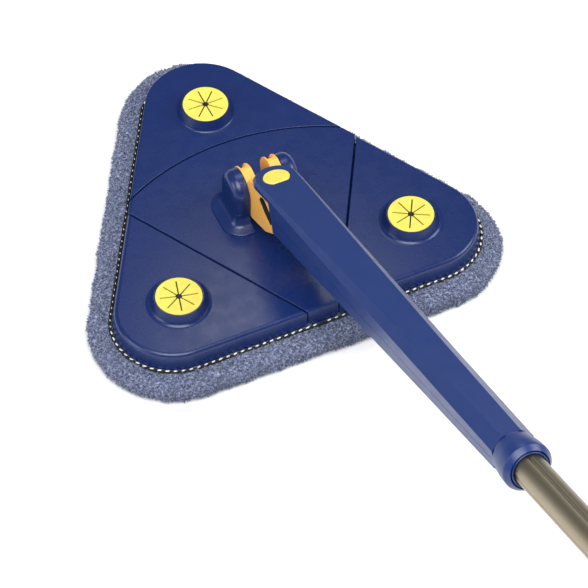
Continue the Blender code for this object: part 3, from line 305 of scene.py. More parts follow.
def brushedMetal(name, hexColour, roughness):
    # drawn or plated steel: fine lines run along the handle's length
    material, tree, shader = newMaterial(name, Metallic=1.0)
    shader.inputs["Base Color"].default_value = linear(hexColour)
    place = addNode(tree, "ShaderNodeTexCoord").outputs["Object"]
    lean = math.atan2(upTheHandle.z, -upTheHandle.y)
    stretch = {"Rotation": (lean, 0, 0), "Scale": (1800.0, 9.0, 1800.0)}
    turn = addNode(tree, "ShaderNodeMapping", stretch, {"Vector": place})
    stretched = {"Vector": turn.outputs["Vector"]}
    lines = addNode(tree, "ShaderNodeTexNoise", {"Scale": 1.0, "Detail": 3.0}, stretched)
    span = {"To Min": roughness - 0.06, "To Max": roughness + 0.1}
    spread = addNode(tree, "ShaderNodeMapRange", span, {"Value": lines.outputs["Fac"]})
    tree.links.new(spread.outputs["Result"], shader.inputs["Roughness"])
    addBump(tree, shader, lines.outputs["Fac"], 0.12, 0.0002)
    return material


def pileFabric(name):
    # chenille microfibre: a dense short pile, blue-grey, speckled from painted shade in the gaps between fibres to
    # pale tips
    material, tree, shader = newMaterial(name, Roughness=0.9, IOR=1.45)
    shader.inputs["Sheen Weight"].default_value = 0.35
    shader.inputs["Sheen Roughness"].default_value = 0.5
    place = addNode(tree, "ShaderNodeTexCoord").outputs["Object"]
    fine = {"Scale": 520.0, "Detail": 4.0, "Roughness": 0.75}
    fleck = addNode(tree, "ShaderNodeTexNoise", fine, {"Vector": place})
    ramp = addNode(tree, "ShaderNodeValToRGB", None, {"Fac": fleck.outputs["Fac"]})
    # the darkest stop is painted shade between the fibres
    gapShadeToTipStops = [(0.34, "#2A304C"), (0.45, "#556080"), (0.54, "#808AAC"), (0.66, "#B9BFD6")]
    ramp.color_ramp.elements.new(0.5)
    ramp.color_ramp.elements.new(0.6)
    for element, (position, colour) in zip(ramp.color_ramp.elements, gapShadeToTipStops):
        element.position = position
        element.color = linear(colour)
    tree.links.new(ramp.outputs["Color"], shader.inputs["Base Color"])
    addBump(tree, shader, fleck.outputs["Fac"], 0.6, 0.0012)
    return material


def wovenTape(name, hexColour):
    # hook tape: nylon weave with rows of tiny hooks, here drawn at a pitch of 1.2 mm so that it shows
    material, tree, shader = newMaterial(name, Roughness=0.85, IOR=1.45)
    place = addNode(tree, "ShaderNodeTexCoord").outputs["Object"]
    rows = addNode(tree, "ShaderNodeTexVoronoi", {"Scale": 830.0}, {"Vector": place})
    ramp = addNode(tree, "ShaderNodeValToRGB", None, {"Fac": rows.outputs["Distance"]})
    base = linear(hexColour)
    ramp.color_ramp.elements[0].color = tuple(min(1, c * 1.8) for c in base[:3]) + (1.0,)
    ramp.color_ramp.elements[1].color = base
    tree.links.new(ramp.outputs["Color"], shader.inputs["Base Color"])
    addBump(tree, shader, rows.outputs["Distance"], 0.5, 0.0006, invert=True)
    return material


navyAbs = mouldedPlastic("navyGlossAbs", "#12275C", 0.27)
handleAbs = mouldedPlastic("navyHandleAbs", "#19316A", 0.34)
amberNylon = mouldedPlastic("amberNylon", "#F8B852", 0.36)
blackNylon = mouldedPlastic("blackNylon", "#15161A", 0.45)
yellowRubber = softRubber("yellowTpRubber", "#ECDC5E", 0.5)
gripRubber = softRubber("darkGripRubber", "#22252E", 0.7)
drawnSteel = brushedMetal("drawnStainlessTube", "#9E947F", 0.4)
zincSteel = brushedMetal("zincPlatedSteel", "#B9BBC0", 0.34)
pile = pileFabric("blueGreyChenille")
hookTape = wovenTape("blackHookTape", "#1A1B20")
whiteThread = softRubber("whitePolyesterThread", "#F1EEE4", 0.8)
blackThread = softRubber("blackPolyesterThread", "#101114", 0.8)

# outlines of the head, in millimetres from its middle

def arc(x, y, radius, start, end, steps):
    angles = [math.radians(start + (end - start) * i / steps) for i in range(steps + 1)]
    return [(x + radius * math.cos(a), y + radius * math.sin(a)) for a in angles]


def directionOf(degrees):
    return math.cos(math.radians(degrees)), math.sin(math.radians(degrees))


def corner(turn, inradius, radius):
    reach, middle = 2 * (inradius - radius), math.radians(90 + turn)
    x, y = reach * math.cos(middle), reach * math.sin(middle)
    return arc(x, y, radius, 30 + turn, 150 + turn, plate["cornerSteps"])


def threeSided(inradius, radius):
    return [point for turn in (0, 120, 240) for point in corner(turn, inradius, radius)]


def clipOutline(outline, direction, distance, keepFar=False):
    sign = -1.0 if keepFar else 1.0
    nx, ny = directionOf(direction)
    depth = [sign * (x * nx + y * ny - distance) for x, y in outline]
    kept = []
    for i, (x, y) in enumerate(outline):
        j = (i + 1) % len(outline)
        if depth[i] <= 0:
            kept.append((x, y))
        if (depth[i] <= 0) != (depth[j] <= 0):
            share = depth[i] / (depth[i] - depth[j])
            kept.append((x + share * (outline[j][0] - x), y + share * (outline[j][1] - y)))
    return kept


def frontSeam(inradius, radius):
    middle = plate["frontSeam"] - plate["frontSeamRadius"]
    along = -math.cos(math.radians(30)) * middle
    square = inradius ** 2 + middle ** 2 - inradius * middle - radius ** 2
    run = -along + math.sqrt(along ** 2 - square)
    x = inradius * math.cos(math.radians(30)) - run * math.sin(math.radians(30))
    y = inradius * math.sin(math.radians(30)) + run * math.cos(math.radians(30))
    start = math.degrees(math.atan2(y - middle, x))
    return arc(0, middle, radius, start, 180 - start, plate["seamSteps"])


def centreOutline(inset, seamInset):
    inradius, radius = plate["inradius"] - inset, plate["corner"] - inset
    seam = frontSeam(inradius, plate["frontSeamRadius"] - plate["seamGap"] / 2 - seamInset)
    outline = seam + corner(120, inradius, radius) + corner(240, inradius, radius)
    fold = plate["fold"] - plate["seamGap"] / 2 - seamInset
    return clipOutline(clipOutline(outline, 210, fold), 330, fold)


def frontOutline(inset, seamInset):
    inradius, radius = plate["inradius"] - inset, plate["corner"] - inset
    seam = frontSeam(inradius, plate["frontSeamRadius"] + plate["seamGap"] / 2 + seamInset)
    return corner(0, inradius, radius) + seam[::-1]


def flapOutline(inset, seamInset):
    outline = threeSided(plate["inradius"] - inset, plate["corner"] - inset)
    return clipOutline(outline, 90, plate["fold"] + plate["seamGap"] / 2 + seamInset, keepFar=True)


def cleanOutline(outline, least=0.05):
    kept = []
    for point in outline:
        if not kept or math.dist(point, kept[-1]) > least:
            kept.append(point)
    if math.dist(kept[0], kept[-1]) <= least:
        kept.pop()
    return kept


def topShell(name, makeOutline):
    shell = flatSolid(name, cleanOutline(makeOutline(0, 0)), plate["bottom"], plate["top"])
    rimPoints = threeSided(plate["inradius"], plate["corner"])

    def distanceInside(x, y):
        best = 1e9
        for i, (x0, y0) in enumerate(rimPoints):
            x1, y1 = rimPoints[(i + 1) % len(rimPoints)]
            run = (x1 - x0) ** 2 + (y1 - y0) ** 2
            share = max(0.0, min(1.0, ((x - x0) * (x1 - x0) + (y - y0) * (y1 - y0)) / run))
            best = min(best, math.hypot(x - x0 - share * (x1 - x0), y - y0 - share * (y1 - y0)))
        return best

    weights = shell.data.attributes.new("bevel_weight_edge", "FLOAT", "EDGE")
    ratio = plate["seamRound"] / plate["rimRound"]
    for edge in shell.data.edges:
        a, b = [shell.data.vertices[i].co for i in edge.vertices]
        if min(a.z, b.z) > plate["top"] - 0.01:
            rim = distanceInside((a.x + b.x) / 2, (a.y + b.y) / 2) < 0.2
            weights.data[edge.index].value = 1.0 if rim else ratio
    applyModifier(shell, "BEVEL", width=plate["rimRound"], segments=5, limit_method="WEIGHT", profile=0.5)
    # draft: the lower rim stands out a little
    for vert in shell.data.vertices:
        if vert.co.z < plate["bottom"] + 0.01 and distanceInside(vert.co.x, vert.co.y) < 0.3:
            away = Vector((vert.co.x, vert.co.y))
            side, tip = [max([Vector(directionOf(a)) for a in turns], key=away.dot)
                         for turns in ((30, 150, 270), (90, 210, 330))]
            out = away - tip * 2 * (plate["inradius"] - plate["corner"])
            push = out.normalized() if abs(out.length - plate["corner"]) < 0.5 else side
            vert.co.x += push.x * plate["draft"]
            vert.co.y += push.y * plate["draft"]
    # hollow it from below
    inner = cleanOutline(makeOutline(plate["wall"], plate["wall"]))
    room = flatSolid("room", inner, plate["bottom"] - 2, plate["top"] - plate["wall"])
    boolean(shell, room)
    return shell


gripper = {
    "fromMiddle": 105.0, "radius": 16.8, "thickness": 1.0, "paintedShadeDisc": 1.0, "rise": 7.6,
    "bossBase": 21.3, "bossTop": 17.9, "bossFillet": 2.6, "bossRound": 0.3, "throat": 14.8,
    "wellRadius": 17.15, "wellDepth": 2.6, "edge": 0.45, "dip": 0.5,
    "slits": 8, "slitWidth": 1.0, "slitInner": 2.4, "slitOuter": 13.6, "eye": 2.4,
}


def addBoss(shell):
    low, high = plate["top"] - 1.0, plate["top"] + gripper["rise"]
    slope = (gripper["bossBase"] - gripper["bossTop"]) / gripper["rise"]
    profile = [(0, low), (gripper["bossBase"] + slope, low), (gripper["bossTop"], high), (0, high)]
    boss = spunSolid("boss", profile, 96)
    toCorner = Matrix.Translation((0, gripper["fromMiddle"], 0))
    reshape(boss, toCorner)
    boolean(shell, boss, "UNION")

    def fromBoss(edge):
        return [math.hypot(v.co.x, v.co.y - gripper["fromMiddle"]) for v in edge.verts]

    def footEdge(edge):
        level = all(abs(v.co.z - plate["top"]) < 0.02 for v in edge.verts)
        return level and all(abs(r - gripper["bossBase"]) < 0.1 for r in fromBoss(edge))

    bevelEdges(shell, footEdge, gripper["bossFillet"], 5)
    well = roller(gripper["wellRadius"], high - gripper["wellDepth"], high + 5, 96)
    boolean(shell, reshape(well, toCorner))

    def lipEdge(edge):
        return all(r > 16 for r in fromBoss(edge)) and all(abs(v.co.z - high) < 0.02 for v in edge.verts)

    bevelEdges(shell, lipEdge, gripper["bossRound"], 2)
    throat = roller(gripper["throat"], plate["bottom"] - 5, high, 96)
    boolean(shell, reshape(throat, toCorner))


hinge = {
    "height": 21.3, "halfLength": 62.5, "halfWidth": 4.8, "top": 25.6,
    "slope": 31.0, "low": -5.0, "far": 300.0,    # degrees of slope, and how far the cut reaches
}


def openHinge(shell, turn, flapSide):
    # room for the knuckles, and the slope below them that lets the corner fold
    fold, away = plate["fold"], -hinge["far"] if flapSide else hinge["far"]
    lean = (hinge["height"] - hinge["low"]) * math.tan(math.radians(hinge["slope"])) * (1 if flapSide else -1)
    half, width = hinge["halfLength"], hinge["halfWidth"]
    channel = block((-half, fold - width, hinge["low"]), (half, fold + width, hinge["top"]))
    side = [(fold, hinge["height"]), (fold + lean, hinge["low"])]
    side += [(fold + away, hinge["low"]), (fold + away, hinge["height"])]
    wedge = flatSolid("wedge", side, -hinge["far"], hinge["far"])
    reshape(wedge, sideOn)
    for tool in (channel, wedge):
        tidyMesh(tool)
        boolean(shell, reshape(tool, turned(turn)))


ear = {
    "y": 8.0, "height": 55.0, "radius": 15.0, "inner": 15.0, "thickness": 11.0, "edge": 6.5,
    # how far the foot spreads: outwards, to the pole, away from it
    "flares": (9.0, 10.0, 6.0), "flareHeight": 12.0, "lip": 1.5, "cornerAtTop": 4.0, "cornerAtFoot": 15.0,
}


def earFoot(side):
    # rings of the foot's outline, from the plate up: a lip, then a hollow curve into the ear
    outer = ear["inner"] + ear["thickness"]
    steps = [(1.0, -1.4), (1.0, ear["lip"] - 0.35), (0.96, ear["lip"])]
    for i in range(1, 9):
        climb = i / 8
        share = 0.9 * (1 - math.sqrt(1 - (1 - climb) ** 2))
        steps.append((share, ear["lip"] + climb * (ear["flareHeight"] - ear["lip"])))
    steps.append((-0.75, ear["flareHeight"] + 0.3))
    rings = []
    for share, height in steps:
        out, front, back = [share * flare for flare in ear["flares"]]
        growth = (ear["cornerAtFoot"] - ear["cornerAtTop"]) * share
        radius = ear["cornerAtTop"] + growth if share >= 0 else 2.0
        x0, x1 = ear["inner"] + 0.4, outer + out
        y0, y1 = ear["y"] - ear["radius"] - front, ear["y"] + ear["radius"] + back
        ring = [(x0, y0)] + arc(x1 - radius, y0 + radius, radius, 270, 360, 6)
        ring += arc(x1 - radius, y1 - radius, radius, 0, 90, 6) + [(x0, y1)]
        rings.append([(side * x, y, plate["top"] + height) for x, y in ring])
    count = len(rings[0])
    verts = [point for ring in rings for point in ring]
    faces = [tuple(range(count)), tuple(range(len(verts) - count, len(verts)))]
    for level in range(len(rings) - 1):
        for i in range(count):
            j = (i + 1) % count
            low, high = level * count, (level + 1) * count
            faces.append((low + i, low + j, high + j, high + i))
    return meshObject("foot", verts, faces)


def addEars(shell):
    low, outer = plate["top"] - 1.5, ear["inner"] + ear["thickness"]

    def outerEdge(edge):
        return edgeAt(outer)(edge) and not all(v.co.y < low + 0.1 for v in edge.verts)

    for side in (-1, 1):
        outline = arc(ear["y"], ear["height"], ear["radius"], 0, 180, 40)
        outline += [(ear["y"] - ear["radius"], low), (ear["y"] + ear["radius"], low)]
        lobe = flatSolid("lobe", outline, ear["inner"], outer)
        bevelEdges(lobe, outerEdge, ear["edge"], 8)
        reshape(lobe, Matrix(((0, 0, side, 0), (1, 0, 0, 0), (0, 1, 0, 0), (0, 0, 0, 1))))
        tidyMesh(lobe)
        boolean(shell, lobe, "UNION")
        boolean(shell, earFoot(side), "UNION")


print("making the head")
centreTop = topShell("centreTop", centreOutline)
addEars(centreTop)
for turn in (120, 240):
    openHinge(centreTop, turn, False)
finishPiece(centreTop, "centreTop", headFrame, navyAbs, "head", "navy_plastic", ["centre_shell"])
frontTop = topShell("frontTop", frontOutline)
addBoss(frontTop)
finishPiece(frontTop, "frontTop", headFrame, navyAbs, "head", "navy_plastic", ["front_shell"])
for side, turn in (("left", 120), ("right", 240)):
    flapTop = topShell(f"{side}Top", flapOutline)
    addBoss(flapTop)
    openHinge(flapTop, 0, True)
    place = headFrame @ turned(turn)
    finishPiece(flapTop, f"{side}Top", place, navyAbs, f"{side}_flap", "navy_plastic", [f"{side}_flap_shell"])


def gripperDisc(name, turn, body, node):
    top = plate["top"] + gripper["rise"] + 0.15
    disc = roller(gripper["radius"], top - gripper["thickness"], top, 128)
    bevelEdges(disc, edgeAt(top), gripper["edge"], 3)
    half = gripper["slitWidth"] / 2
    for i in range(gripper["slits"]):
        slit = block((gripper["slitInner"] - 1.2, -half, top - 4), (gripper["slitOuter"], half, top + 2))
        boolean(disc, reshape(slit, Matrix.Rotation(math.tau * i / gripper["slits"], 4, "Z")))
    boolean(disc, roller(gripper["eye"], top - 4, top + 2, 32))
    # the petals dip towards the eye
    for vert in disc.data.vertices:
        reach = math.hypot(vert.co.x, vert.co.y)
        if reach < gripper["slitOuter"]:
            vert.co.z -= gripper["dip"] * (1 - reach / gripper["slitOuter"]) ** 2
    toCorner = Matrix.Translation((0, gripper["fromMiddle"], 0))
    place = headFrame @ turned(turn)
    reshape(disc, toCorner)
    finishPiece(disc, name, place, yellowRubber, body, "yellow_rubber", [node])
    # a black disc under the gripper paints the shade that shows through its eye and slits
    low = top - gripper["thickness"] - 0.1
    paintedShadeDisc = roller(gripper["radius"] - 0.3, low - gripper["paintedShadeDisc"], low, 96)
    bevelEdges(paintedShadeDisc, edgeAt(low), 0.2, 2)
    reshape(paintedShadeDisc, toCorner)
    finishPiece(paintedShadeDisc, name + "PaintedShadeDisc", place, blackNylon, body, "black_plastic")


print("making the grippers")
gripperDisc("frontGripper", 0, "head", "front_gripper")
gripperDisc("leftGripper", 120, "left_flap", "left_gripper")
gripperDisc("rightGripper", 240, "right_flap", "right_gripper")

yokeSizes = {
    "halfWidth": 14.5, "prong": 8.0, "gapEnd": 13.0, "nose": 15.5, "tail": 56.0, "top": 15.2,
    "edge": 0.9, "axle": 3.1, "notch": 5.4, "notchHalfWidth": 4.6, "windowDepth": 3.0, "spigotAt": 34.0,
    # the opening in each cheek: distance up the handle, height
    "window": [
        (33.5, 6.5), (38.0, 11.0), (44.0, 11.6), (52.0, 3.0), (53.0, -4.0), (48.5, -7.5), (41.0, -1.5),
    ],
    # radius and both ends of the spigot's bore, of the room for its head and of the room for its washer
    "bores": [(9.1, -30, 30), (13.1, 11.7, 30), (11.3, -40, -7.7)],
}


def fromSide(outline, halfWidth):
    solid = flatSolid("side", [(h, s) for s, h in outline], -halfWidth, halfWidth)
    reshape(solid, sideOn)
    tidyMesh(solid)
    return solid


def roundCorner(edge):
    return edge.is_manifold and edge.calc_face_angle(0) > math.radians(28)


def inWindow(centre):
    return 10.8 < abs(centre.x) < 14.0 and abs(centre.y) < 12 and 33 < centre.z < 53.5


print("making the yoke")
outline = arc(0, 0, yokeSizes["nose"], 75, 250, 40)
tail, top = yokeSizes["tail"], yokeSizes["top"]
outline += [(2.0, -20.0), (12.0, -21.0), (36.0, -19.5), (tail - 5, -13.5), (tail, -6.0)]
outline += [(tail, top - 2), (tail - 2, top), (18.0, top), (12.0, 9.5)]
yoke = fromSide(outline, yokeSizes["halfWidth"])
gap = yokeSizes["halfWidth"] - yokeSizes["prong"]
boolean(yoke, block((-gap, -30, -30), (gap, 30, yokeSizes["gapEnd"])))
bevelEdges(yoke, roundCorner, yokeSizes["edge"], 3)
# a shallow V runs over the rim of each prong
past, half = yokeSizes["nose"] + 3, yokeSizes["notchHalfWidth"]
for side in (-1, 1):
    middle = side * (yokeSizes["halfWidth"] - yokeSizes["prong"] / 2)
    groove = spunSolid("groove", [(yokeSizes["nose"] - yokeSizes["notch"], 0), (past, -half), (past, half)])
    reshape(groove, Matrix.Translation((middle, 0, 0)) @ turned(90, "Y"))
    tidyMesh(groove)
    boolean(groove, block((-40, -40, 0.5), (40, 40, 40)))
    boolean(groove, block((-40, -40, -40), (40, -2.5, 40)))
    boolean(yoke, groove)
hole = roller(yokeSizes["axle"], -30, 30, 48)
boolean(yoke, reshape(hole, turned(90, "Y")))
for radius, low, high in yokeSizes["bores"]:
    tool = roller(radius, low, high)
    boolean(yoke, reshape(tool, Matrix.Translation((0, 0, yokeSizes["spigotAt"])) @ leaningUp))
for side in (-1, 1):
    pocket = fromSide(yokeSizes["window"], yokeSizes["windowDepth"])
    boolean(yoke, reshape(pocket, Matrix.Translation((side * yokeSizes["halfWidth"], 0, 0))))
# the floor of each opening is painted black: painted shade standing for the dark inside of the opening
paintedShadeFaces = [face.index for face in yoke.data.polygons if inWindow(face.center)]
finishPiece(yoke, "amberYoke", handleFrame, amberNylon, "yoke", "amber_plastic", ["yoke"])
yoke.data.materials.append(blackNylon)
for index in paintedShadeFaces:
    yoke.data.polygons[index].material_index = 1

body = {
    "middle": 2.9, "hoodFromAxle": 34.0, "hoodRadius": 16.25, "hoodUnderside": 15.5, "swingRoom": 27.5,
    "seam": 0.3, "depth": 14.5, "edgeRound": 1.1, "end": 402.7, "lowerStart": 44.0, "lowerHalfWidth": 16.3,
    "bore": 12.0, "boreStart": 84.0, "collet": 13.2, "colletStart": 395.7,
    # distance up the handle, half width, rise above the pole's axis, chamfer
    "sections": [
        (10.0, 16.3, 18.0, 1.9), (50.0, 16.25, 18.0, 2.0), (150.0, 15.8, 17.0, 4.0), (300.0, 15.0, 15.5, 6.6),
        (402.7, 14.7, 14.8, 8.2),
    ],
}
onPoleAxis = Matrix.Translation((0, body["middle"], 0))


def sectionAt(distance):
    rows = body["sections"]
    for first, second in zip(rows, rows[1:]):
        if distance <= second[0]:
            share = max(0.0, (distance - first[0]) / (second[0] - first[0]))
            return [a + (b - a) * share for a, b in zip(first[1:], second[1:])]
    return list(rows[-1][1:])


def outerCorner(edge):
    sharp = edge.is_manifold and edge.calc_face_angle(0) > math.radians(20)
    return sharp and all(abs(v.co.y - body["middle"]) > 1 for v in edge.verts)


def bodyOutline(upper):
    # from the collar down one side, round the hood or across the lower end, and back up the other side
    length = body["end"] - body["hoodFromAxle"]
    stations = [body["end"] - length * i / 36 for i in range(37)]
    left = [(-sectionAt(s)[0], s) for s in stations]
    right = [(-x, s) for x, s in left[::-1]]
    if upper:
        radius, start = body["hoodRadius"], body["hoodFromAxle"]
        turns = [math.pi * i / 48 for i in range(1, 48)]
        return left + [(-radius * math.cos(a), start - radius * math.sin(a)) for a in turns] + right
    start, half = body["lowerStart"], body["lowerHalfWidth"]
    left, right = [[point for point in row if point[1] > start] for row in (left, right)]
    return left + [(-half, start), (half, start)] + right


def bodyHalf(name, upper):
    # three loops of points: at the seam, under the chamfer and on the outer face
    ring = bodyOutline(upper)
    count, sign = len(ring), 1 if upper else -1
    levels = [[], [], []]
    for i, (x, s) in enumerate(ring):
        half, rise, chamfer = sectionAt(s)
        reach = rise if upper else body["depth"]
        before, after = ring[max(i - 1, 0)], ring[min(i + 1, count - 1)]
        tangent = Vector((after[0] - before[0], after[1] - before[1]))
        tangent = tangent.normalized() if tangent.length > 1e-6 else Vector((0, 1))
        inward = Vector((-tangent.y, tangent.x))
        if i in (0, count - 1):
            inward = Vector((1.0 if x < 0 else -1.0, 0.0))
        if inward.dot(Vector((-x, max(60.0 - s, 0.0)))) < 0:
            inward = -inward
        levels[0].append((x, body["middle"] + sign * body["seam"] / 2, s))
        levels[1].append((x, body["middle"] + sign * (reach - chamfer), s))
        levels[2].append((x + inward.x * chamfer, body["middle"] + sign * reach, s + inward.y * chamfer))
    faces = []
    for level in range(2):
        for i in range(count - 1):
            a, b = level * count + i, level * count + i + 1
            faces.append((a, b, b + count, a + count))
    top, low = 2 * count, 0
    for i in range(count // 2):
        j = count - 1 - i
        if j - i < 2:
            break
        for base in (top, low):
            corners = [base + i, base + i + 1, base + j - 1, base + j]
            faces.append(tuple(dict.fromkeys(corners)))
    faces.append((0, count, 2 * count, 3 * count - 1, 2 * count - 1, count - 1))
    half = meshObject(name, sum(levels, []), faces)
    bevelEdges(half, outerCorner, body["edgeRound"], 3)
    room = roller(body["swingRoom"], -60, body["hoodUnderside"], 96)
    boolean(half, reshape(room, Matrix.Translation((0, 0, body["hoodFromAxle"])) @ leaningUp))
    for radius, start in ((body["bore"], body["boreStart"]), (body["collet"], body["colletStart"])):
        boolean(half, reshape(roller(radius, start, 500), onPoleAxis))
    return half


button = {
    "from": 35.7, "radius": 9.7, "flat": 8.0, "under": 17.5, "top": 21.6, "edge": 0.9, "gap": 0.3,
    "springRoom": 5.4, "roof": 20.0,    # a hollow for the spring, and the height that it reaches
}


def dOutline(radius, flat, steps=64):
    half = math.degrees(math.acos(min(flat / radius, 1.0)))
    return arc(0, 0, radius, 270 + half, 630 - half, steps)


print("making the handle")
handleNavy = handleFrame, handleAbs, "handle", "navy_plastic"
upper = bodyHalf("handleTop", True)
onButtonAxis = Matrix.Translation((0, 0, button["from"])) @ leaningUp
mouth = flatSolid("mouth", dOutline(button["radius"] + button["gap"], button["flat"] + button["gap"]), 10, 30)
boolean(upper, reshape(mouth, onButtonAxis))
finishPiece(upper, "handleTop", *handleNavy, ["handle_upper_shell"])
lower = bodyHalf("handleUnderside", False)
finishPiece(lower, "handleUnderside", *handleNavy, ["handle_lower_shell"])

key = flatSolid("key", dOutline(button["radius"], button["flat"]), button["under"], button["top"])
bevelEdges(key, edgeAt(button["top"]), button["edge"], 4)
boolean(key, roller(button["springRoom"], 10, button["roof"], 48))
reshape(key, onButtonAxis)
finishPiece(key, "releaseKey", handleFrame, yellowRubber, "button", "yellow_rubber", ["release_button"])

# the collar flares from the body, narrows again over a round edge, and has a ring inside its mouth
collar = {"start": 403.0, "end": 425.6, "radius": 17.0, "lip": 13.4, "bore": 14.7, "floor": 418.5}
print("making the collar")
r, a, b = collar["radius"], collar["start"], collar["end"]
profile = [(collar["bore"], a), (r - 1.9, a), (r - 1.75, a + 0.4), (r - 1.5, a + 2.0)]
profile += [(r - 1.1, a + 5.0), (r - 0.5, a + 9.0), (r - 0.12, a + 12.5)]
profile += [(r, b - 6.0), (r, b - 4.2), (r - 0.25, b - 3.4)]
profile += [(r - 2.6, b - 0.5), (r - 3.0, b - 0.1), (collar["lip"] + 0.5, b), (collar["lip"], b - 0.5)]
profile += [(collar["lip"], collar["floor"]), (collar["bore"], collar["floor"])]
ring = reshape(spunSolid("ring", profile, 128), onPoleAxis)
finishPiece(ring, "twistCollar", handleFrame, handleAbs, "lock_collar", "navy_plastic", ["lock_collar"], 28)
ferrule = {"bore": 11.15, "radius": 12.9, "depth": 7.0, "proud": 0.4}
r, inner, top = ferrule["radius"], ferrule["bore"], b + ferrule["proud"]
profile = [(inner, b - ferrule["depth"]), (r, b - ferrule["depth"]), (r, b - 0.4), (r - 0.15, b + 0.1)]
profile += [(r - 0.5, top), (inner + 0.75, top), (inner + 0.25, b), (inner, b - 0.6)]
insert = reshape(spunSolid("insert", profile), onPoleAxis)
finishPiece(insert, "poleFerrule", *handleNavy, ["ferrule"], 28)

tube = {
    "radius": 11.0, "wall": 1.0, "start": 330.0, "end": 1150.0,
    "grooves": 4, "depth": 0.8, "halfAngle": 9.0, "steps": 240,
}
print("making the tube")
outline = []
for i in range(tube["steps"]):
    angle = 360 * i / tube["steps"]
    off = min(abs((angle - 90 - k * 90 + 180) % 360 - 180) for k in range(tube["grooves"]))
    dip = tube["depth"] * (0.5 + 0.5 * math.cos(math.pi * min(off / tube["halfAngle"], 1.0)))
    reach = tube["radius"] - dip
    outline.append((reach * math.cos(math.radians(angle)), reach * math.sin(math.radians(angle))))
pipe = flatSolid("pipe", outline, tube["start"], tube["end"])
boolean(pipe, roller(tube["radius"] - tube["depth"] - tube["wall"], tube["start"] - 5, tube["end"] + 5))
reshape(pipe, onPoleAxis)
finishPiece(pipe, "steelTube", handleFrame, drawnSteel, "pole", "brushed_steel", ["pole_tube"])

grip = {
    "start": 1010.0, "end": 1160.0, "radius": 15.5, "bore": 11.3, "steps": 132, "crown": 1.2,
    "rings": 11, "ringDepth": 0.55, "plainEnd": 0.12, "endRound": 1.0,
}
print("making the grip")
profile = [(grip["bore"], grip["start"])]
ringed = 1 - 2 * grip["plainEnd"]
for i in range(grip["steps"] + 1):
    share = i / grip["steps"]
    radius = grip["radius"] - grip["crown"] + grip["crown"] * math.sin(math.pi * share)
    along = (share - grip["plainEnd"]) / ringed
    if 0 < along < 1:
        radius -= grip["ringDepth"] * max(0.0, math.sin(math.tau * grip["rings"] * along)) ** 2
    if i in (0, grip["steps"]):
        radius -= grip["endRound"]
    profile.append((radius, grip["start"] + (grip["end"] - grip["start"]) * share))
profile.append((grip["bore"], grip["end"]))
sleeve = reshape(spunSolid("sleeve", profile, 64), onPoleAxis)
finishPiece(sleeve, "gripSleeve", handleFrame, gripRubber, "pole", "grip_rubber", ["hand_grip"], 60)

endCap = {
    "gap": 0.3, "height": 12.0, "plug": 8.9, "plugDepth": 10.0, "smaller": 0.5,
    "loop": 30.0, "loopSmaller": 3.5, "halfThickness": 4.0, "hole": 6.0, "edge": 1.6,
}


def loopEdge(edge):
    level = all(abs(abs(v.co.z) - endCap["halfThickness"]) < 0.01 for v in edge.verts)
    return level and edge.calc_face_angle(0) > 1


start = grip["end"] + endCap["gap"]
shoulder = start + endCap["height"]
r = grip["radius"] - endCap["smaller"]
profile = [(0, start - endCap["plugDepth"]), (endCap["plug"], start - endCap["plugDepth"])]
profile += [(endCap["plug"], start), (r, start), (r, shoulder - 3), (r - 0.4, shoulder - 1.8)]
profile += [(r - 1.3, shoulder - 0.6), (r - 2.6, shoulder), (0, shoulder)]
cap = spunSolid("cap", profile, 64)
half = grip["radius"] - endCap["loopSmaller"]
foot = shoulder - 2
loopTop = foot + endCap["loop"] - half
loop = arc(0, loopTop, half, 0, 180, 36) + [(-half, foot), (half, foot)]
tongue = flatSolid("tongue", loop, -endCap["halfThickness"], endCap["halfThickness"])
bevelEdges(tongue, loopEdge, endCap["edge"], 4)
hole = roller(endCap["hole"], -20, 20, 48)
boolean(tongue, reshape(hole, Matrix.Translation((0, loopTop, 0))))
boolean(cap, reshape(tongue, turned(90, "X")), "UNION")
reshape(cap, onPoleAxis)
finishPiece(cap, "hangingCap", handleFrame, handleAbs, "pole", "navy_plastic", ["end_cap"])

# the pad is made in two halves, one on each side of the head's middle

pad = {
    "inradius": 116.0, "corner": 61.0, "top": 15.4, "edge": 6.2, "step": 1.5, "narrowSide": 7.0, "bend": 17.0,
    "wave": 1.3, "waveLength": 11.0, "lump": 0.9, "lumpLength": 2.1,
    "tufts": 11000, "tuftLength": 2.8, "tuftWidth": 0.55, "seed": 7,
}


def evenly(outline, step):
    points = [Vector(p) for p in outline]
    points.append(points[0])
    lengths = [0.0]
    for a, b in zip(points, points[1:]):
        lengths.append(lengths[-1] + (b - a).length)
    count = int(lengths[-1] / step)
    found, k = [], 0
    for i in range(count):
        want = lengths[-1] * i / count
        while lengths[k + 1] < want:
            k += 1
        share = (want - lengths[k]) / max(lengths[k + 1] - lengths[k], 1e-9)
        found.append(points[k].lerp(points[k + 1], share))
    return found


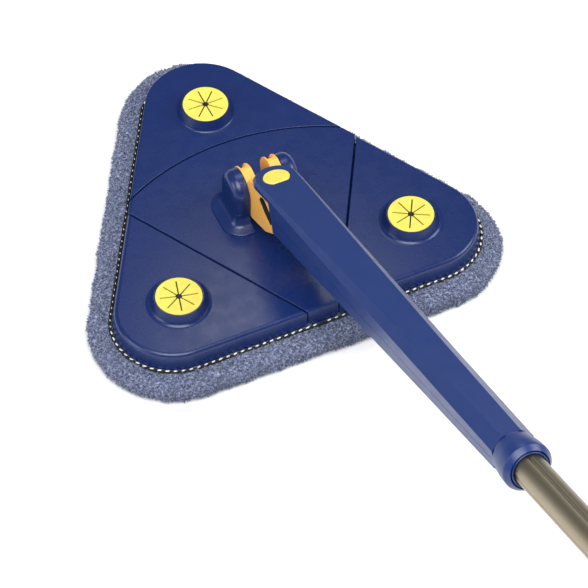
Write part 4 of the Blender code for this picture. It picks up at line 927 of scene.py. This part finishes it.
def padHalf(side):
    # rows of the rim's outline, from the top round the edge to the underside
    # the margin is narrower along the side that faces right of the pole
    rim = evenly(threeSided(pad["inradius"], pad["corner"]), pad["step"])
    count = len(rim)
    tangents = [(rim[(i + 1) % count] - rim[i - 1]).normalized() for i in range(count)]
    normals = [Vector((t.y, -t.x)) for t in tangents]
    rows = [(46.0, pad["top"]), (30.0, pad["top"]), (22.0, pad["top"])]
    rows += [(22.0 - 1.4 * i, pad["top"]) for i in range(1, 12)]
    for a in map(math.radians, (12, 27, 42, 57, 72, 87)):
        rows.append((pad["edge"] * (1 - math.sin(a)), pad["top"] - pad["edge"] * (1 - math.cos(a))))
    rows += [(0.0, pad["top"] / 2), (0.6, 3.6), (2.0, 1.6), (4.0, 0.5)]
    rows += [(inset, 0.3) for inset in (8.0, 14.0, 24.0, 46.0)]
    verts = []
    for inset, height in rows:
        for point, normal in zip(rim, normals):
            along = normal.x * math.cos(math.radians(30)) + normal.y * math.sin(math.radians(30))
            narrow = pad["narrowSide"] * max(0.0, along) ** 4
            spot = point - normal * (inset + narrow * (1 - min(inset, 30.0) / 30.0))
            verts.append((spot.x, spot.y, height))
    faces = []
    for r in range(len(rows) - 1):
        for i in range(count):
            j = (i + 1) % count
            faces.append((r * count + i, (r + 1) * count + i, (r + 1) * count + j, r * count + j))
    last = (len(rows) - 1) * count
    faces += [tuple(range(count))[::-1], tuple(range(last, last + count))]
    half = meshObject("pad", verts, faces)
    halve(half, side)
    return half


def beyondPlate(points):
    # how far points lie outside the plate's rounded outline
    within = plate["inradius"] - plate["corner"]
    tips = [2 * within * np.array(directionOf(a)) for a in (90, 210, 330)]
    flat = np.asarray(points)[:, :2]
    best = np.full(len(flat), 1e9)
    for a, b in zip(tips, tips[1:] + tips[:1]):
        share = np.clip(((flat - a) @ (b - a)) / ((b - a) @ (b - a)), 0, 1)
        best = np.minimum(best, np.linalg.norm(flat - a - share[:, None] * (b - a), axis=1))
    inside = np.all([flat @ np.array(directionOf(a)) < within for a in (30, 150, 270)], axis=0)
    return np.where(inside, -best, best) - plate["corner"]


def ruffle(piece):
    # pile: low waves along the rim, and small lumps everywhere that shows
    mesh = piece.data
    mesh.update()
    coords = np.array([v.co for v in mesh.vertices])
    normals = np.array([v.normal for v in mesh.vertices])
    moved = coords.copy()
    for i, (x, y, z) in enumerate(coords):
        if abs(x) < 0.4:
            continue
        rim = min(1.0, max(0.0, (math.hypot(x, y) - 60) / 20))
        spot = Vector((x, y, z))
        wave = noise.noise(spot / pad["waveLength"]) * pad["wave"] * rim
        lumps = noise.noise(spot / pad["lumpLength"]) + 0.5 * noise.noise(spot / 1.1)
        moved[i] += normals[i] * (wave + lumps * pad["lump"] * rim)
    moved[:, 2] = np.clip(moved[:, 2], 0.15, pad["top"] + 0.75)
    mesh.vertices.foreach_set("co", moved.ravel())
    mesh.update()


def addTufts(piece, side, amount):
    # short bent fibres on the pad's border, each a three-sided spike in two lengths that bends in the middle
    random = np.random.default_rng(pad["seed"] + side)
    mesh = piece.data
    mesh.calc_loop_triangles()
    coords = np.array([v.co for v in mesh.vertices])
    tris = np.array([t.vertices[:] for t in mesh.loop_triangles])
    a, b, c = coords[tris[:, 0]], coords[tris[:, 1]], coords[tris[:, 2]]
    cross = np.cross(b - a, c - a)
    area = np.linalg.norm(cross, axis=1) / 2
    middle = (a + b + c) / 3
    wanted = (beyondPlate(middle) > 3.0) & (np.abs(middle[:, 0]) > 1.0) & (middle[:, 2] > 1.2)
    share = area * wanted
    share = share / share.sum()
    chosen = random.choice(len(tris), size=amount, p=share)
    u, v = random.random(amount), random.random(amount)
    flip = u + v > 1
    u[flip], v[flip] = 1 - u[flip], 1 - v[flip]
    root = a[chosen] + (b - a)[chosen] * u[:, None] + (c - a)[chosen] * v[:, None]
    up = cross[chosen] / (2 * area[chosen])[:, None]
    lean = random.normal(0, 0.55, (amount, 3))
    direction = up + lean
    direction /= np.linalg.norm(direction, axis=1)[:, None]
    second = direction + random.normal(0, 0.5, (amount, 3)) + np.array((0, 0, -0.25))
    second /= np.linalg.norm(second, axis=1)[:, None]
    length = pad["tuftLength"] * (0.55 + 0.65 * random.random(amount))
    wide = pad["tuftWidth"] * (0.7 + 0.6 * random.random(amount))
    sideways = np.cross(direction, np.array((0.3, 0.5, 0.8)))
    sideways /= np.linalg.norm(sideways, axis=1)[:, None]
    other = np.cross(direction, sideways)
    halfway = root + direction * (length * 0.5)[:, None]
    points = np.zeros((amount, 7, 3))
    for k in range(3):
        turn = math.tau * k / 3
        offset = sideways * math.cos(turn) + other * math.sin(turn)
        points[:, k] = root - up * 0.6 + offset * (wide * 0.9)[:, None]
        points[:, 3 + k] = halfway + offset * (wide * 0.75)[:, None]
    points[:, 6] = halfway + second * (length * 0.5)[:, None]
    points[:, :, 2] = np.clip(points[:, :, 2], 0.1, None)
    one = [(0, 1, 4, 3), (1, 2, 5, 4), (2, 0, 3, 5), (3, 4, 6), (4, 5, 6), (5, 3, 6), (2, 1, 0)]
    faces = [tuple(7 * i + k for k in face) for i in range(amount) for face in one]
    return meshObject("fibres", points.reshape(-1, 3).tolist(), faces, weld=False)


stitch = {
    "pitch": 5.6, "inradius": 100.8, "corner": 44.8, "height": 17.1,
    "length": 3.6, "thick": 0.78, "cord": 1.15, "cordStep": 2.0,
}


def cordLine(side):
    line = evenly(threeSided(stitch["inradius"] + 0.2, stitch["corner"] + 0.2), stitch["cordStep"])
    count, sides = len(line), 6
    verts, faces = [], []
    for i, point in enumerate(line):
        tangent = (line[(i + 1) % count] - line[i - 1]).normalized()
        out = Vector((tangent.y, -tangent.x))
        for k in range(sides):
            turn = math.tau * k / sides
            spot = point + out * math.cos(turn) * stitch["cord"]
            verts.append((spot.x, spot.y, stitch["height"] - 0.5 + math.sin(turn) * stitch["cord"]))
    for i in range(count):
        here, there = i * sides, (i + 1) % count * sides
        for k in range(sides):
            after = (k + 1) % sides
            faces.append((here + k, here + after, there + after, there + k))
    cord = meshObject("cordLine", verts, faces)
    halve(cord, side)
    cord.data.materials.append(blackThread)
    return cord


def stitching(side):
    # overlock edge: a black cord with pale stitches laid over it
    rim = evenly(threeSided(stitch["inradius"], stitch["corner"]), stitch["pitch"])
    cord = cordLine(side)
    bpy.ops.object.select_all(action="DESELECT")
    bpy.ops.mesh.primitive_uv_sphere_add(segments=10, ring_count=7, radius=1.0)
    sample = bpy.context.active_object
    for vert in sample.data.vertices:
        vert.co.x *= stitch["length"] / 2
        vert.co.y *= stitch["thick"] * (0.85 + 0.15 * abs(vert.co.x))
        vert.co.z *= stitch["thick"] * 0.8
    random = np.random.default_rng(pad["seed"] + 40 + side)
    stitches = []
    for i, point in enumerate(rim):
        if side * point.x < 2.2:
            continue
        tangent = (rim[(i + 1) % len(rim)] - rim[i - 1]).normalized()
        angle = math.atan2(tangent.y, tangent.x) + math.radians(random.uniform(6, 16))
        one = linked("stitch", sample.data.copy())
        one.data.materials.append(whiteThread)
        # the far left side is sewn tighter, so its pale stitches hardly show
        tight = 0.55 if -point.x * 0.866 + point.y * 0.5 > stitch["inradius"] - 1.0 else 1.0
        size = (random.uniform(0.85, 1.05) * tight, random.uniform(0.85, 1.1) * tight, 1, 1)
        place = Matrix.Translation((point.x, point.y, stitch["height"] + 0.25))
        one.matrix_world = place @ Matrix.Rotation(angle, 4, "Z") @ Matrix.Diagonal(size)
        stitches.append(one)
    bpy.data.objects.remove(sample, do_unlink=True)
    return join(cord, stitches)


print("making the pad")
for side, name in ((-1, "left"), (1, "right")):
    half = padHalf(side)
    ruffle(half)
    half.data.materials.append(pile)
    fibres = addTufts(half, side, pad["tufts"])
    fibres.data.materials.append(pile)
    sewn = stitching(side)
    join(half, [fibres])
    for piece, pieceName in ((half, f"{name}PadHalf"), (sewn, f"{name}Stitching")):
        reshape(piece, headFrame)
        piece.name = piece.data.name = pieceName
        activate(piece)
        bpy.ops.object.shade_smooth()
    across = Vector((side * math.cos(math.radians(30)), -0.5, 0))
    start, end = [headFrame @ (across * (plate["fold"] + step)) for step in (-pad["bend"], pad["bend"])]
    for piece in (half, sewn):
        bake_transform(piece)
    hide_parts(f"{name}_pad")
    if side < 0:
        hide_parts("centre_pad")

# CAD pieces that are shown as they are

flapScrews = [f"{side}_flap_screw_{number}" for side in ("left", "right") for number in (1, 2)]
finishes = [
    (zincSteel, [
        "handle_screw_1", "handle_screw_2", "spigot_washer", "spigot_screw", "button_spring",
        "left_axle_pin", "right_axle_pin", "left_hinge_pin", "right_hinge_pin",
        "centre_screw_1", "centre_screw_2", "centre_screw_3", "front_screw_1", "front_screw_2", *flapScrews,
    ]),
    (blackNylon, ["spigot", "clamp_collet", "tube_plug", "front_clip", "left_clip", "right_clip"]),
    (navyAbs, ["head_base", "left_flap_base", "right_flap_base", "axle_cap"]),
    (hookTape, ["centre_hook_tape", "left_hook_tape", "right_hook_tape"]),
]
for finish, names in finishes:
    for name in names:
        node = frame["nodes"][name]
        node.data.materials.clear()
        node.data.materials.append(finish)

print("setting the stage")
floorHeight = mounts["floor_face"]["pos_m"][2] - 0.0008    # just below the pad
bpy.ops.object.select_all(action="DESELECT")
bpy.ops.mesh.primitive_plane_add(size=14, location=(0, 0, floorHeight))
floor = bpy.context.active_object
floor.name = "paleFloor"
floorPaint, tree, shader = newMaterial("palePaper", Roughness=0.95)
shader.inputs["Base Color"].default_value = linear("#FFFFFF")
floor.data.materials.append(floorPaint)

world = bpy.data.worlds.new("paleRoom")
bpy.context.scene.world = world
world.use_nodes = True
background = world.node_tree.nodes["Background"]
background.inputs["Color"].default_value = linear("#E9EDF6")
background.inputs["Strength"].default_value = 0.22

# metres from the middle of the head's underside, and watts
lamps = {
    "overheadSoftbox": {"place": (-0.5, -0.9, 2.2), "aim": (0, 0, 0), "size": 1.6, "power": 58},
    "rightSoftbox": {"place": (1.5, -0.6, 1.3), "aim": (0, 0, 0), "size": 1.0, "power": 20},
    "leftFill": {"place": (-1.4, 0.0, 0.6), "aim": (0, 0, 0), "size": 0.8, "power": 7},
    "farGlow": {"place": (0.13, 0.245, 0.6), "aim": (-0.05, -0.12, 0), "size": 0.2, "power": 0.46},
}
headMiddle = Vector(mounts["floor_face"]["pos_m"])
for name, lamp in lamps.items():
    data = bpy.data.lights.new(name, "AREA")
    data.size, data.energy = lamp["size"], lamp["power"]
    light = linked(name, data)
    light.location = headMiddle + Vector(lamp["place"])
    towards = headMiddle + Vector(lamp["aim"]) - light.location
    light.rotation_euler = towards.to_track_quat("-Z", "Y").to_euler()

cameraData = bpy.data.cameras.new("camera")
cameraData.lens, cameraData.sensor_width = 214.286, 36.0
cameraData.clip_end = 50
camera = linked("camera", cameraData)
# the camera's right, its up and the way back from what it sees
across = (0.9061447, -0.42284865, 0.01003963)
upwards = (0.32410843, 0.70940862, 0.62585392)
back = (-0.27176369, -0.56386029, 0.77987568)
facing = Matrix((across, upwards, back)).transposed().to_4x4()
camera.matrix_world = Matrix.Translation((-0.685589, -0.462042, 1.529684)) @ facing
bpy.context.scene.camera = camera
bpy.context.scene.view_settings.view_transform = "Standard"
